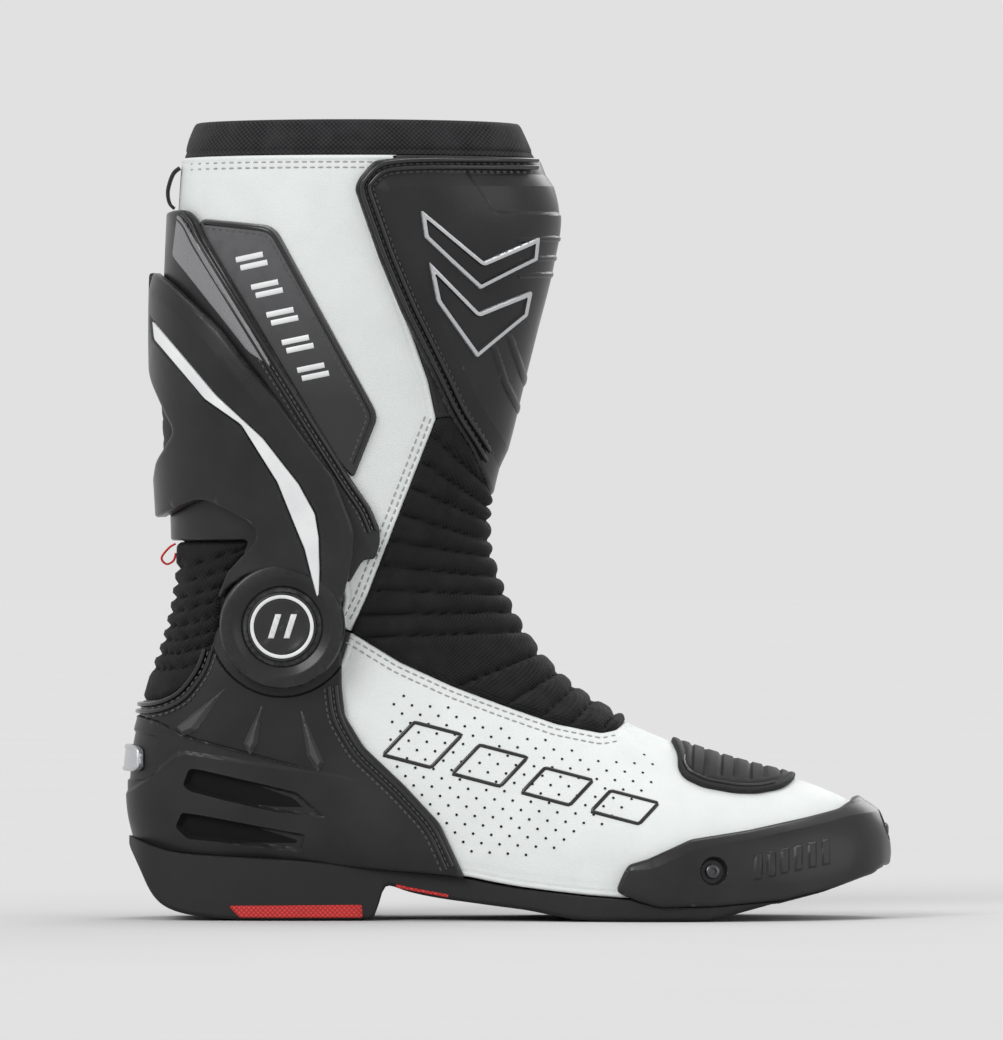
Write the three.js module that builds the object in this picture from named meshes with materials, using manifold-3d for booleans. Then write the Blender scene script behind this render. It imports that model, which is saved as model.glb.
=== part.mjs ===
// A right-foot motorcycle racing boot with a hinged ankle brace, as an assembly of separate closed solids.
// Millimetres, +X to the toe, +Z up, outer (lateral) side towards -Y.
// The origin is on the ground, straight below the ankle hinge axis, which runs along Y.
import * as THREE from "three";
import { mergeVertices } from "three/addons/utils/BufferGeometryUtils.js";
import Module from "manifold-3d";

const wasm = await Module();
wasm.setup();

// ---------------------------------------------------------------- driving dimensions
const BOOT_LENGTH = 308; // heel badge to toe slider
const BOOT_HEIGHT = 318; // ground to the top of the collar
const BALL_WIDTH = 98; // upper across the ball of the foot
const SHAFT_WIDTH = 106; // upper across the top of the shaft

const UPPER_WALL = 1.8; // microfibre upper
const STIFFENER_WALL = 1.3; // toe puff and heel stiffener
const LINING_WALL = 2.5; // foam and mesh lining
const FLEX_RISE = 2.4; // padded ribs stand this far out of the upper
const FLEX_DEPTH = 2.4; // and this far in
const SEAM_GAP = 0.4; // between panels that meet edge to edge
const LAYER_GAP = 0.3; // between layers that lie on each other

const COUNTER_WALL = 3; // moulded heel counter
const SHIN_WALL = 3; // moulded shin plate
const SHIN_TRIM_RISE = 1.4; // its piped rim stands this far proud
const PATCH_WALL = 1.2; // side patch
const CALF_PLATE_WALL = 3; // moulded plate under the brace
const SLIDER_WALL = 5.2; // toe slider
const SHIFT_PAD_WALL = 2.2;
const BADGE_WALL = 1.6; // raised badges
const TRIM_RISE = 1; // piping on the moulded parts

const HINGE_HEIGHT = 116.5; // ankle axis above the ground
const SOCKET_RADIUS = 25; // round seat of the brace on the counter
const SOCKET_FACE = 5.4; // its outer face, out from the upper at the axis
const EYE_THICKNESS = 5;
const EYE_RADIUS = 24.6;
const CAP_RADIUS = 14;
const CAP_CLEARANCE = 1.6; // round the cap, in the eye
const BOLT_RADIUS = 5;
const BUSH_WALL = 1.6;
const RUNNING_CLEARANCE = 0.3;
const COUNTER_HUB_RADIUS = 22; // counter round the hinge
const SHAFT_HUB_RADIUS = 30; // shaft parts stay outside this

const BRACE_LIFT = 6.4; // brace off the upper
const BRACE_WALL = 4.4;

const BOARD_WALL = 2.4; // insole board
const FOOTBED_WALL = 4.6;
const SHANK_WIDTH = 18;
const SHANK_WALL = 1.5;

const SCREW_HEAD_RADIUS = 3;
const SCREW_SHANK_RADIUS = 1.9;
const SCREW_RECESS_RADIUS = 5;

const ZIP_TAPE_WIDTH = 22;
const ZIP_TAPE_WALL = 0.8;
const ZIP_CHAIN_WIDTH = 5;
const ZIP_SLIDER_LENGTH = 11;
const ZIP_SLIDER_WIDTH = 8;

const RINGS = 26; // mesh density of the loft: stations along, points round
const SPOKES = 20;

// Every outline below is drawn on a reference boot of this length and height, seen from its outer
// side, and stretches with the two overall sizes.
const REFERENCE_LENGTH = 308;
const REFERENCE_HEIGHT = 318;
const REFERENCE_BALL = 98;
const REFERENCE_SHAFT = 106;
const REFERENCE_HINGE = 116.5;
const lengthScale = BOOT_LENGTH / REFERENCE_LENGTH;
const lowScale = HINGE_HEIGHT / REFERENCE_HINGE;
const HINGE_ZONE = 40; // this far above the axis keeps its height, so the hinge parts still fit
const highScale =
  (BOOT_HEIGHT - HINGE_HEIGHT - HINGE_ZONE) / (REFERENCE_HEIGHT - REFERENCE_HINGE - HINGE_ZONE);
const placeX = (x) => x * lengthScale;
function placeZ(z) {
  const above = z - REFERENCE_HINGE;
  if (above <= 0) return z * lowScale;
  return HINGE_HEIGHT + Math.min(above, HINGE_ZONE) + Math.max(above - HINGE_ZONE, 0) * highScale;
}
const place = ([x, z]) => [placeX(x), placeZ(z)];
// The outline point that lands on a placed point inside the hinge zone.
const unplaceNearHinge = ([x, z]) => [x / lengthScale, z - HINGE_HEIGHT + REFERENCE_HINGE];

// ---------------------------------------------------------------- materials
const finish = (color, roughness, metalness = 0) =>
  new THREE.MeshStandardMaterial({ color, roughness, metalness });
const WHITE_LEATHER = finish(0xe4e9e6, 0.55);
const BLACK_LEATHER = finish(0x1b1b1c, 0.6);
const BLACK_PLASTIC = finish(0x2a2a2b, 0.5);
const GLOSS_BLACK = finish(0x0c0c0d, 0.25);
const BLACK_RUBBER = finish(0x1d1d1e, 0.7);
const RED_RUBBER = finish(0xc8232c, 0.6);
const STRETCH_FABRIC = finish(0x161617, 0.95);
const LINING_FABRIC = finish(0x242426, 0.95);
const SILVER = finish(0xd4d4d6, 0.3, 0.4);
const WHITE_PLASTIC = finish(0xf2f2f2, 0.35);
const STEEL = finish(0x8d8f93, 0.35, 0.9);
const BOARD_FIBRE = finish(0x6e5a44, 0.9);
const FOAM = finish(0x303033, 0.95);
const RED_RIBBON = finish(0xd3261b, 0.8);

// ---------------------------------------------------------------- solids
function toSolid(geometry) {
  const bare = new THREE.BufferGeometry().setAttribute("position", geometry.getAttribute("position"));
  if (geometry.index) bare.setIndex(geometry.index);
  const merged = mergeVertices(bare, 1e-4);
  return new wasm.Manifold(
    new wasm.Mesh({
      numProp: 3,
      vertProperties: new Float32Array(merged.attributes.position.array),
      triVerts: new Uint32Array(merged.index.array),
    }),
  );
}

const FACET_TOLERANCE = 0.06; // flat facets this close to one another become one

function toMesh(name, solid, material) {
  const made = solid.simplify(FACET_TOLERANCE).getMesh();
  const points = new Float32Array(made.numVert * 3);
  for (let i = 0; i < made.numVert; i++) {
    points.set(made.vertProperties.subarray(i * made.numProp, i * made.numProp + 3), i * 3);
  }
  const geometry = new THREE.BufferGeometry();
  geometry.setAttribute("position", new THREE.BufferAttribute(points, 3));
  geometry.setIndex(new THREE.BufferAttribute(new Uint32Array(made.triVerts), 1));
  geometry.computeVertexNormals();
  const mesh = new THREE.Mesh(geometry, material);
  mesh.name = name;
  return mesh;
}

function box(x0, x1, y0, y1, z0, z1) {
  const geometry = new THREE.BoxGeometry(x1 - x0, y1 - y0, z1 - z0);
  return toSolid(geometry.translate((x0 + x1) / 2, (y0 + y1) / 2, (z0 + z1) / 2));
}

// A cylinder along Y, centred on a point of the side view.
function drum([x, z], radius, y0, y1, sides = 28) {
  const geometry = new THREE.CylinderGeometry(radius, radius, y1 - y0, sides);
  return toSolid(geometry.translate(x, (y0 + y1) / 2, z));
}

// ---------------------------------------------------------------- the last: one smooth loft
// Stations run from the toe tip along the foot, turn at the ankle, and climb the shaft. Each is a
// section from its top or front point to its under or back point. half is half its width, side moves
// its middle towards the inner side, widest says where it is widest on the way back, and the two
// powers say how square its front and back halves are.
const station = (top, under, half, side, widest, topPower, underPower) => {
  return { top, under, half, side, widest, topPower, underPower };
};
const STATIONS = [
  station([237.5, 26], [237.5, 26], 0, 4, 0.6, 2, 2),
  station([236.6, 33], [236.4, 19], 6.4, 4, 0.6, 2, 2.4),
  station([233.5, 40], [233, 12], 15, 3.8, 0.62, 2, 2.8),
  station([227.5, 45.6], [226.5, 6], 23.5, 3.5, 0.65, 2, 3.2),
  station([218, 50.4], [216.5, 1.5], 31, 3, 0.68, 2, 3.6),
  station([204, 55.6], [202, -3], 38.5, 2, 0.7, 2, 4),
  station([181, 61.5], [178, -6], 45.5, 0, 0.72, 2, 4),
  station([158, 69], [154, -6], 49, -1.5, 0.72, 2, 4),
  station([137, 78], [124, -4], 48, -2, 0.7, 2, 4),
  station([120, 87.5], [92, 1], 44.5, -2, 0.66, 2, 4),
  station([106, 99.5], [58, 6], 41, -1.5, 0.62, 2, 3.8),
  station([95.5, 113], [22, 10], 38.5, -1, 0.6, 2, 3.4),
  station([87.5, 128], [-14, 12], 37, 0, 0.58, 2, 3),
  station([82, 143], [-46, 14], 36.5, 0, 0.56, 2, 2.6),
  station([80.5, 156], [-58.5, 38], 36.5, 0, 0.56, 2, 2.3),
  station([82, 169], [-59, 66], 37, 0, 0.56, 2, 2.2),
  station([85, 182], [-52.5, 92], 37.5, 0, 0.56, 2, 2.1),
  station([88.5, 195], [-44.5, 118], 38, 0, 0.56, 2, 2),
  station([92.5, 212], [-40.5, 146], 40, 0, 0.56, 2, 2),
  station([98, 234], [-42, 184], 44.5, 0, 0.56, 2, 2),
  station([104.5, 260], [-43.5, 225], 49, 0, 0.56, 2, 2),
  station([107.5, 282], [-43, 262], 52, 0, 0.55, 2, 2),
  station([101, 303.5], [-40.5, 303], 53, 0, 0.54, 2, 2),
  station([94.5, 318.5], [-36, 318.5], 50.5, 0, 0.53, 2, 2),
  station([88, 334], [-32, 334], 48, 0, 0.53, 2, 2),
];
const FIRST_SHAFT_STATION = 19; // from here up, widths follow the shaft's width
const LAST_FOOT_STATION = 12; // up to here, they follow the ball's width

function catmullRom(a, b, c, d, t) {
  const t2 = t * t;
  return 0.5 * (2 * b + (c - a) * t + (2 * a - 5 * b + 4 * c - d) * t2 + (3 * b - a - 3 * c + d) * t2 * t);
}

// How far the widths follow the shaft rather than the ball, from 0 to 1.
function shaftShare(u) {
  const t = (u - LAST_FOOT_STATION) / (FIRST_SHAFT_STATION - LAST_FOOT_STATION);
  return THREE.MathUtils.smoothstep(t, 0, 1);
}

// The section at u, which counts stations from the toe.
function sectionAt(u) {
  const last = STATIONS.length - 1;
  const i = Math.min(Math.floor(u), last - 1);
  const near = [i - 1, i, i + 1, i + 2].map((k) => STATIONS[THREE.MathUtils.clamp(k, 0, last)]);
  const mix = (read) => catmullRom(...near.map(read), u - i);
  const share = shaftShare(u);
  const widthScale =
    (BALL_WIDTH / REFERENCE_BALL) * (1 - share) + (SHAFT_WIDTH / REFERENCE_SHAFT) * share;
  return {
    top: place([mix((s) => s.top[0]), mix((s) => s.top[1])]),
    under: place([mix((s) => s.under[0]), mix((s) => s.under[1])]),
    half: Math.max(0, mix((s) => s.half)) * widthScale,
    side: mix((s) => s.side),
    widest: mix((s) => s.widest),
    topPower: mix((s) => s.topPower),
    underPower: mix((s) => s.underPower),
  };
}

// Half of a section as points [share of the way back, half width], spaced evenly along the curve.
function halfSection(section, count) {
  const length = Math.hypot(section.top[0] - section.under[0], section.top[1] - section.under[1]);
  const fine = 96;
  const points = [];
  for (let k = 0; k <= fine; k++) {
    const angle = (Math.PI * k) / fine;
    const power = 2 / (angle <= Math.PI / 2 ? section.topPower : section.underPower);
    const along = Math.sign(Math.cos(angle)) * Math.abs(Math.cos(angle)) ** power;
    const across = section.half * Math.abs(Math.sin(angle)) ** power;
    const reach = along > 0 ? section.widest : 1 - section.widest;
    points.push([section.widest - along * reach, across]);
  }
  const runs = [0];
  for (let k = 1; k <= fine; k++) {
    const step = Math.hypot((points[k][0] - points[k - 1][0]) * length, points[k][1] - points[k - 1][1]);
    runs.push(runs[k - 1] + step);
  }
  const made = [];
  let k = 1;
  for (let n = 0; n <= count; n++) {
    const target = (runs[fine] * n) / count;
    while (k < fine && runs[k] < target) k++;
    const t = runs[k] > runs[k - 1] ? (target - runs[k - 1]) / (runs[k] - runs[k - 1]) : 0;
    made.push([
      points[k - 1][0] + (points[k][0] - points[k - 1][0]) * t,
      points[k - 1][1] + (points[k][1] - points[k - 1][1]) * t,
    ]);
  }
  return made;
}

// One ring of the loft: it starts at the top or front, goes round the outer side, and comes back.
function ringAt(u) {
  const section = sectionAt(u);
  const half = halfSection(section, SPOKES / 2);
  const ring = [];
  for (let j = 0; j < SPOKES; j++) {
    const outer = j <= SPOKES / 2;
    const [share, across] = outer ? half[j] : half[SPOKES - j];
    ring.push(
      new THREE.Vector3(
        section.top[0] + (section.under[0] - section.top[0]) * share,
        section.side + (outer ? -across : across),
        section.top[1] + (section.under[1] - section.top[1]) * share,
      ),
    );
  }
  return ring;
}

const lastU = STATIONS.length - 1;
const loft = Array.from({ length: RINGS + 1 }, (_, i) => ringAt((lastU * i) / RINGS));
const outward = loft.map((ring, i) =>
  ring.map((point, j) => {
    if (i === 0) return new THREE.Vector3(1, 0, 0);
    const along = loft[Math.min(i + 1, RINGS)][j].clone().sub(loft[i - 1][j]);
    const round = ring[(j + 1) % SPOKES].clone().sub(ring[(j + SPOKES - 1) % SPOKES]);
    return along.cross(round).normalize();
  }),
);

// The last grown outwards by some millimetres, or shrunk, as a closed solid.
const grownSolids = new Map();
function grown(by) {
  if (grownSolids.has(by)) return grownSolids.get(by);
  const points = [];
  const push = (p) => points.push(p.x, p.y, p.z);
  push(loft[0][0].clone().addScaledVector(outward[0][0], by));
  for (let i = 1; i <= RINGS; i++) {
    loft[i].forEach((p, j) => push(p.clone().addScaledVector(outward[i][j], by)));
  }
  const topMiddle = new THREE.Vector3();
  loft[RINGS].forEach((p) => topMiddle.addScaledVector(p, 1 / SPOKES));
  push(topMiddle);
  const at = (i, j) => 1 + (i - 1) * SPOKES + (j % SPOKES);
  const faces = [];
  for (let j = 0; j < SPOKES; j++) {
    faces.push(0, at(1, j), at(1, j + 1));
    faces.push(at(RINGS, j + 1), at(RINGS, j), points.length / 3 - 1);
  }
  for (let i = 1; i < RINGS; i++) {
    for (let j = 0; j < SPOKES; j++) {
      faces.push(at(i, j), at(i + 1, j), at(i + 1, j + 1));
      faces.push(at(i, j), at(i + 1, j + 1), at(i, j + 1));
    }
  }
  const solid = new wasm.Manifold(
    new wasm.Mesh({
      numProp: 3,
      vertProperties: new Float32Array(points),
      triVerts: new Uint32Array(faces),
    }),
  );
  grownSolids.set(by, solid);
  return solid;
}

// ---------------------------------------------------------------- side-view outlines
const WIDE = 90; // beyond either side of the boot
const AHEAD = BOOT_LENGTH; // beyond its toe

const smooth = (points, steps) =>
  new THREE.SplineCurve(points.map(([x, z]) => new THREE.Vector2(x, z)))
    .getPoints(steps)
    .map((p) => [p.x, p.y]);

function arc([x, z], radius, fromDegrees, toDegrees, steps) {
  return Array.from({ length: steps + 1 }, (_, k) => {
    const angle = THREE.MathUtils.degToRad(fromDegrees + ((toDegrees - fromDegrees) * k) / steps);
    return [x + radius * Math.cos(angle), z + radius * Math.sin(angle)];
  });
}

// A prism across the boot from an outline that is already in place.
function plainPrism(outline, y0, y1) {
  const shape = new THREE.Shape(outline.map(([x, z]) => new THREE.Vector2(x, z)));
  const geometry = new THREE.ExtrudeGeometry(shape, { depth: y1 - y0, bevelEnabled: false });
  return toSolid(geometry.rotateX(Math.PI / 2).translate(0, y1, 0));
}

// The same from an outline drawn on the reference boot.
const prism = (outline, y0 = -WIDE, y1 = WIDE) => plainPrism(outline.map(place), y0, y1);

// A band along a line, half to either side of it, mitred at the corners.
function bandOutline(line, width) {
  const across = line.slice(1).map(([x, z], k) => {
    return new THREE.Vector2(line[k][1] - z, x - line[k][0]).normalize();
  });
  const left = [];
  const right = [];
  line.forEach(([x, z], k) => {
    const before = across[Math.max(k - 1, 0)];
    const after = across[Math.min(k, across.length - 1)];
    const mitre = before.clone().add(after).normalize();
    mitre.multiplyScalar(width / 2 / Math.max(mitre.dot(before), 0.3));
    left.push([x + mitre.x, z + mitre.y]);
    right.unshift([x - mitre.x, z - mitre.y]);
  });
  return [...left, ...right];
}
const band = (line, width, y0 = -WIDE, y1 = WIDE) =>
  plainPrism(bandOutline(line.map(place), width), y0, y1);

// An outline moved inwards by a distance, corner by corner; a negative distance grows it.
function shrink(outline, by) {
  const points = outline.map(([x, z]) => new THREE.Vector2(x, z));
  const turn = THREE.ShapeUtils.isClockWise(points) ? -1 : 1;
  const across = points.map((p, k) => {
    const run = points[(k + 1) % points.length].clone().sub(p).normalize();
    return new THREE.Vector2(-run.y, run.x).multiplyScalar(turn);
  });
  return points.map((p, k) => {
    const before = across[(k + points.length - 1) % points.length];
    const mitre = before.clone().add(across[k]).normalize();
    mitre.multiplyScalar(by / Math.max(mitre.dot(before), 0.3));
    return [p.x + mitre.x, p.y + mitre.y];
  });
}

const join = (solids) => wasm.Manifold.union(solids);

// The part of a layer of the boot, between two distances from the upper's face, inside a prism.
const layer = (region, inner, outer) => region.intersect(grown(outer)).subtract(grown(inner));

const HINGE = [0, HINGE_HEIGHT];

// ---- lines that panels share
const SOLE_TOP = smooth(
  [
    [-70, 37], [-61.6, 33], [-46, 27.3], [-27.2, 25.4], [5.9, 23.6], [34.2, 20.7], [67.2, 17.8],
    [94.4, 12.8], [134.4, 8.6], [166.4, 9.6], [206.4, 16], [232, 25], [250, 35],
  ],
  24,
);
const COUNTER_RIM = [
  [-80, 84], [-54.5, 86.3], [-46, 87.2], [-37.5, 91.5], [-29, 100.9], [-26.2, 113.4], [-25.2, 118.4],
];
const COUNTER_FRONT = [
  [23.4, 106], [23.4, 93.4], [24.8, 81.1], [32.3, 68.8], [48.4, 53.7], [62.5, 38.6], [74, 14],
];
const VAMP_EDGE = [
  [27.2, 114.4], [46.8, 102.4], [68.1, 92.7], [90.2, 84.5], [108.9, 78], [126.9, 74.3],
  [132.6, 75.5], [137.9, 80], [146, 90],
];
const VAMP_REAR = [
  [27.2, 114.4], [24, 104], [18.5, 92], [20, 80], [27, 66], [43, 51], [57, 36], [67, 12],
];
const STRIP_FRONT = [
  [27.2, 114.4], [33.2, 127], [46, 159.8], [61.2, 198.8],
];
const SHIN_EDGE = [
  [61.2, 198.8], [66.4, 199.6], [74.6, 186.6], [83.2, 166.2], [87.7, 171], [104, 176],
];
const SHIN_REAR = [
  [61.2, 198.8], [58, 214], [48, 243], [37, 272], [36, 286], [42, 296], [50, 312],
];
const SHIN_REAR_INNER = [
  [61.2, 198.8], [66, 214], [64, 243], [62, 272], [62, 312],
];
const HUB_TOP = arc(HINGE, SHAFT_HUB_RADIUS, 38, 120, 8).map(unplaceNearHinge);
const REAR_FLEX_FRONT = [
  [-25.2, 118.4], [-24.6, 128], [-18.1, 140.5], [-12, 150.5],
];
const CALF_REAR_FOOT = [
  [-12, 150.5], [-40, 150], [-80, 149],
];
const CALF_EDGE = [
  [23.6, 135], [29, 146], [32, 155], [28.5, 163], [22, 173], [7.6, 196.8], [-34, 268], [-38, 276],
  [-80, 276],
];
const CALF_EDGE_INNER = [
  [23.6, 135], [12, 150], [5, 172], [2, 196], [-12, 228], [-34, 268], [-38, 276], [-80, 276],
];
const COLLAR_FOOT = 303.4;
const ABOVE = 345;

const seams = (lines) => join(lines.map((line) => band(line, SEAM_GAP)));

// ---------------------------------------------------------------- soft upper
const upper = (region, cuts) => layer(region, -UPPER_WALL, 0).subtract(cuts);
const reversed = (line) => [...line].reverse();

const aboveSole = prism([...SOLE_TOP, [250, ABOVE], [-80, ABOVE]].map(([x, z]) => [x, z + SEAM_GAP]));

const hubDisc = drum(HINGE, SOCKET_RADIUS - 1, -WIDE, WIDE);
const hubRim = drum(HINGE, SOCKET_RADIUS - 1 + SEAM_GAP, -WIDE, WIDE);

const footSeams = seams([COUNTER_RIM, VAMP_EDGE, VAMP_REAR]);
const vampRegion = prism([...reversed(VAMP_EDGE), ...VAMP_REAR.slice(1), [260, 0], [260, 90]])
  .intersect(aboveSole)
  .subtract(hubRim);
const vamp = upper(vampRegion, footSeams);

const quarterRegion = prism([...COUNTER_RIM, [27.2, 118.4], ...VAMP_REAR, [-80, 12]])
  .intersect(aboveSole);
const quarterOutline = quarterRegion
  .subtract(prism([[-25, 116], [-80, 200], [60, 200], [40, 112], [0, 112]]))
  .add(hubDisc);
const quarter = upper(quarterOutline, footSeams);

const flexSeams = seams([
  VAMP_EDGE, STRIP_FRONT, SHIN_EDGE, REAR_FLEX_FRONT, CALF_REAR_FOOT, COUNTER_RIM,
]);

// Stretch panels are thick, with ribs parted by grooves.
const RIB_GROOVE = 1.6;
const RIB_BASE = 0.4;
function ribbed(region, grooves) {
  const panel = layer(region, -FLEX_DEPTH, FLEX_RISE).subtract(flexSeams);
  const cut = join(grooves.map((line) => band(line, RIB_GROOVE)));
  return panel.subtract(cut.intersect(grown(FLEX_RISE + 1)).subtract(grown(RIB_BASE)));
}

const FRONT_GROOVES = [
  [[124, 71], [141, 93]],
  [[110, 73], [135, 98]],
  [[99, 76.5], [130, 105]],
  [[84, 82], [124, 107]],
  [[64, 90.5], [120, 112.5]],
  [[30, 112], [114, 114.5]],
  [[29, 121], [110, 122]],
  [[33, 131], [106, 128]],
  [[36, 141], [103, 134]],
  [[40, 151], [101, 141]],
  [[44, 162], [101, 144.5]],
  [[48, 173], [99, 150.5]],
  [[52, 184], [94, 155.5]],
  [[56, 195], [79, 174]],
];
const frontFlexRegion = prism([
  ...reversed(VAMP_EDGE), ...STRIP_FRONT.slice(1), ...SHIN_EDGE.slice(1), [150, 176],
]).subtract(hubRim);
const frontFlex = ribbed(frontFlexRegion, FRONT_GROOVES);

const REAR_GROOVES = [139.6, 133.6, 127.6, 122.4, 116.4, 110.8, 105.6, 99.6].map((z) => [
  [-70, z - 2], [-40, z], [-6, z + 10],
]);
const rearFlexRegion = prism([
  ...COUNTER_RIM, ...REAR_FLEX_FRONT.slice(1), ...CALF_REAR_FOOT.slice(1),
]);
const rearFlex = ribbed(rearFlexRegion, REAR_GROOVES);

const SHAFT_FOOT = [[33.2, 127], ...HUB_TOP, [-12, 150.5]];
const gussetRegion = prism([[27.2, 114.4], ...SHAFT_FOOT, ...reversed(REAR_FLEX_FRONT), [0, 112]])
  .subtract(hubRim);
const gussetSeams = join([flexSeams, seams([SHAFT_FOOT])]);
const gusset = upper(gussetRegion, gussetSeams);

const lateralHalf = box(-WIDE, AHEAD, -WIDE, 0, -20, ABOVE);
const medialHalf = box(-WIDE, AHEAD, 0, WIDE, -20, ABOVE);
const gussetLateral = gusset.intersect(lateralHalf);
const gussetMedial = gusset.intersect(medialHalf);

const shinOutline = (rear) => [...rear, [140, 312], [140, 176], ...reversed(SHIN_EDGE).slice(0, -1)];
const calfOutline = (edge) => [...edge, ...reversed(CALF_REAR_FOOT), ...reversed(HUB_TOP).slice(0, -1)];
const sideOutline = (rear, edge) => [
  ...rear, [-80, 312], ...reversed(edge), ...STRIP_FRONT.slice(1, 3),
];
const bySide = (lateral, medial) =>
  join([prism(lateral, -WIDE, 0), prism(medial, 0, WIDE)]);
const shaftSeams = seams([SHAFT_FOOT, STRIP_FRONT, SHIN_EDGE, CALF_REAR_FOOT]);
const shaftCuts = join([
  shaftSeams,
  seams([SHIN_REAR, CALF_EDGE]).intersect(lateralHalf),
  seams([SHIN_REAR_INNER, CALF_EDGE_INNER]).intersect(medialHalf),
  box(-WIDE, AHEAD, -WIDE, WIDE, placeZ(COLLAR_FOOT), ABOVE),
]);

const shinPanel = upper(bySide(shinOutline(SHIN_REAR), shinOutline(SHIN_REAR_INNER)), shaftCuts);
const calfPanel = upper(bySide(calfOutline(CALF_EDGE), calfOutline(CALF_EDGE_INNER)), shaftCuts);
const shaftPanelLateral = upper(prism(sideOutline(SHIN_REAR, CALF_EDGE), -WIDE, 0), shaftCuts);
const innerPanel = upper(prism(sideOutline(SHIN_REAR_INNER, CALF_EDGE_INNER), 0, WIDE), shaftCuts);

// ---------------------------------------------------------------- zip on the inner side
// How far out the upper stands at a point of the side view, on the outer (-1) or inner (1) side.
function upperOut(point, side) {
  const bounds = drum(point, 0.2, -WIDE, WIDE, 8).intersect(grown(0)).boundingBox();
  return side < 0 ? -bounds.min[1] : bounds.max[1];
}

const ZIP_FOOT = [18, 158];
const ZIP_TOP = [36, 266];
const zipLine = [ZIP_FOOT, ZIP_TOP];
const zipRun = new THREE.Vector2(...place(ZIP_TOP)).sub(new THREE.Vector2(...place(ZIP_FOOT)));
const alongZip = (point, by) => {
  const step = zipRun.clone().normalize().multiplyScalar(by);
  return [placeX(point[0]) + step.x, placeZ(point[1]) + step.y];
};
const zipBand = (width, extra) =>
  plainPrism(bandOutline([alongZip(ZIP_FOOT, -extra), alongZip(ZIP_TOP, extra)], width), 0, WIDE);

const TAPE_OUT = -UPPER_WALL - LAYER_GAP;
const TAPE_END = 4;
const ZIP_SLOT = ZIP_CHAIN_WIDTH + 2.6;
const zipTape = layer(zipBand(ZIP_TAPE_WIDTH, TAPE_END), TAPE_OUT - ZIP_TAPE_WALL, TAPE_OUT);
const zipChain = layer(zipBand(ZIP_CHAIN_WIDTH, -1), TAPE_OUT + LAYER_GAP, -0.2);
const shaftPanelMedial = innerPanel.subtract(zipBand(ZIP_SLOT, 0));

// ---------------------------------------------------------------- stiffeners and lining
const STIFFENER_OUT = -UPPER_WALL - LAYER_GAP;
const STIFFENER_IN = STIFFENER_OUT - STIFFENER_WALL;
const toeCap = prism([[184, 0], [190, 100], [260, 100], [260, 0]]);
const toePuff = layer(vampRegion.intersect(toeCap), STIFFENER_IN, STIFFENER_OUT);
const heelCup = prism([[-80, 80], [-44, 80], [-6, 70], [10, 52], [14, 8], [-80, 8]]);
const heelStiffener = layer(quarterOutline.intersect(heelCup), STIFFENER_IN, STIFFENER_OUT);

const FOOT_LINING_OUT = STIFFENER_IN - LAYER_GAP;
const footLiningRegion = join([vampRegion, quarterOutline, hubRim]);
const liningFoot = layer(footLiningRegion, FOOT_LINING_OUT - LINING_WALL, FOOT_LINING_OUT)
  .subtract(footSeams.intersect(prism([[-90, 60], [-20, 140], [20, 160], [160, 90], [160, 70], [100, 70]])));

const SHAFT_LINING_OUT = -UPPER_WALL - LAYER_GAP;
const shaftOutline = [
  [-80, COLLAR_FOOT], [140, COLLAR_FOOT], [140, 176], ...reversed(SHIN_EDGE),
  ...reversed(STRIP_FRONT.slice(1, 3)), ...HUB_TOP, ...CALF_REAR_FOOT,
];
const tapePocket = layer(zipBand(ZIP_TAPE_WIDTH + 0.6, TAPE_END + 0.3), TAPE_OUT - ZIP_TAPE_WALL - 0.3, 0);
const liningShaft = layer(prism(shaftOutline), SHAFT_LINING_OUT - LINING_WALL, SHAFT_LINING_OUT)
  .subtract(shaftSeams)
  .subtract(tapePocket);

const COLLAR_INSET = 0.8;
const collarZone = box(-WIDE, AHEAD, -WIDE, WIDE, placeZ(COLLAR_FOOT) + SEAM_GAP, BOOT_HEIGHT);
const collar = layer(collarZone, SHAFT_LINING_OUT - LINING_WALL, -COLLAR_INSET);

// ---------------------------------------------------------------- moulded parts on the foot
const counterCut = prism([
  [-80, 84], [-54.5, 86.3], [-46, 87.2], [-37.5, 91.5], [-29, 100.9], [-26.2, 113.4], [-20, 116.5],
  [16, 112], ...COUNTER_FRONT, [-80, 4],
]).intersect(aboveSole);
const counterHub = drum(HINGE, COUNTER_HUB_RADIUS, -WIDE, WIDE);
const COUNTER_OUT = LAYER_GAP + COUNTER_WALL;
const counterSlots = [
  [[-38.4, 59.6], [-20, 57], [0, 50.6], [19.2, 41.6], [18.4, 47.4], [0, 56.6], [-20, 60.4]],
  [[-40.8, 42.6], [-20, 40.6], [0, 33.6], [11.6, 29.2], [10, 34.2], [-8, 40.6], [-26, 43.6]],
];
const SLOT_DEPTH = 1.2;
const slotCut = join(counterSlots.map((outline) => prism(outline)))
  .intersect(grown(COUNTER_OUT + 1))
  .subtract(grown(COUNTER_OUT - SLOT_DEPTH));
const SPIKES = [
  [[-20.1, 93], [-39, 73.4], [-35.5, 73.4]],
  [[-6.9, 88], [-14.6, 66], [-11.4, 66]],
  [[6.4, 88], [12.8, 59.4], [16, 59.4]],
];

// ---------------------------------------------------------------- the hinge, once on each side
const SIDES = { lateral: -1, medial: 1 };
const RUNNING_FIT = 0.1;
const WEB_WALL = 2.4;
const hubDrum = (side, radius, from, to) =>
  side < 0 ? drum(HINGE, radius, -to, -from) : drum(HINGE, radius, from, to);

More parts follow.
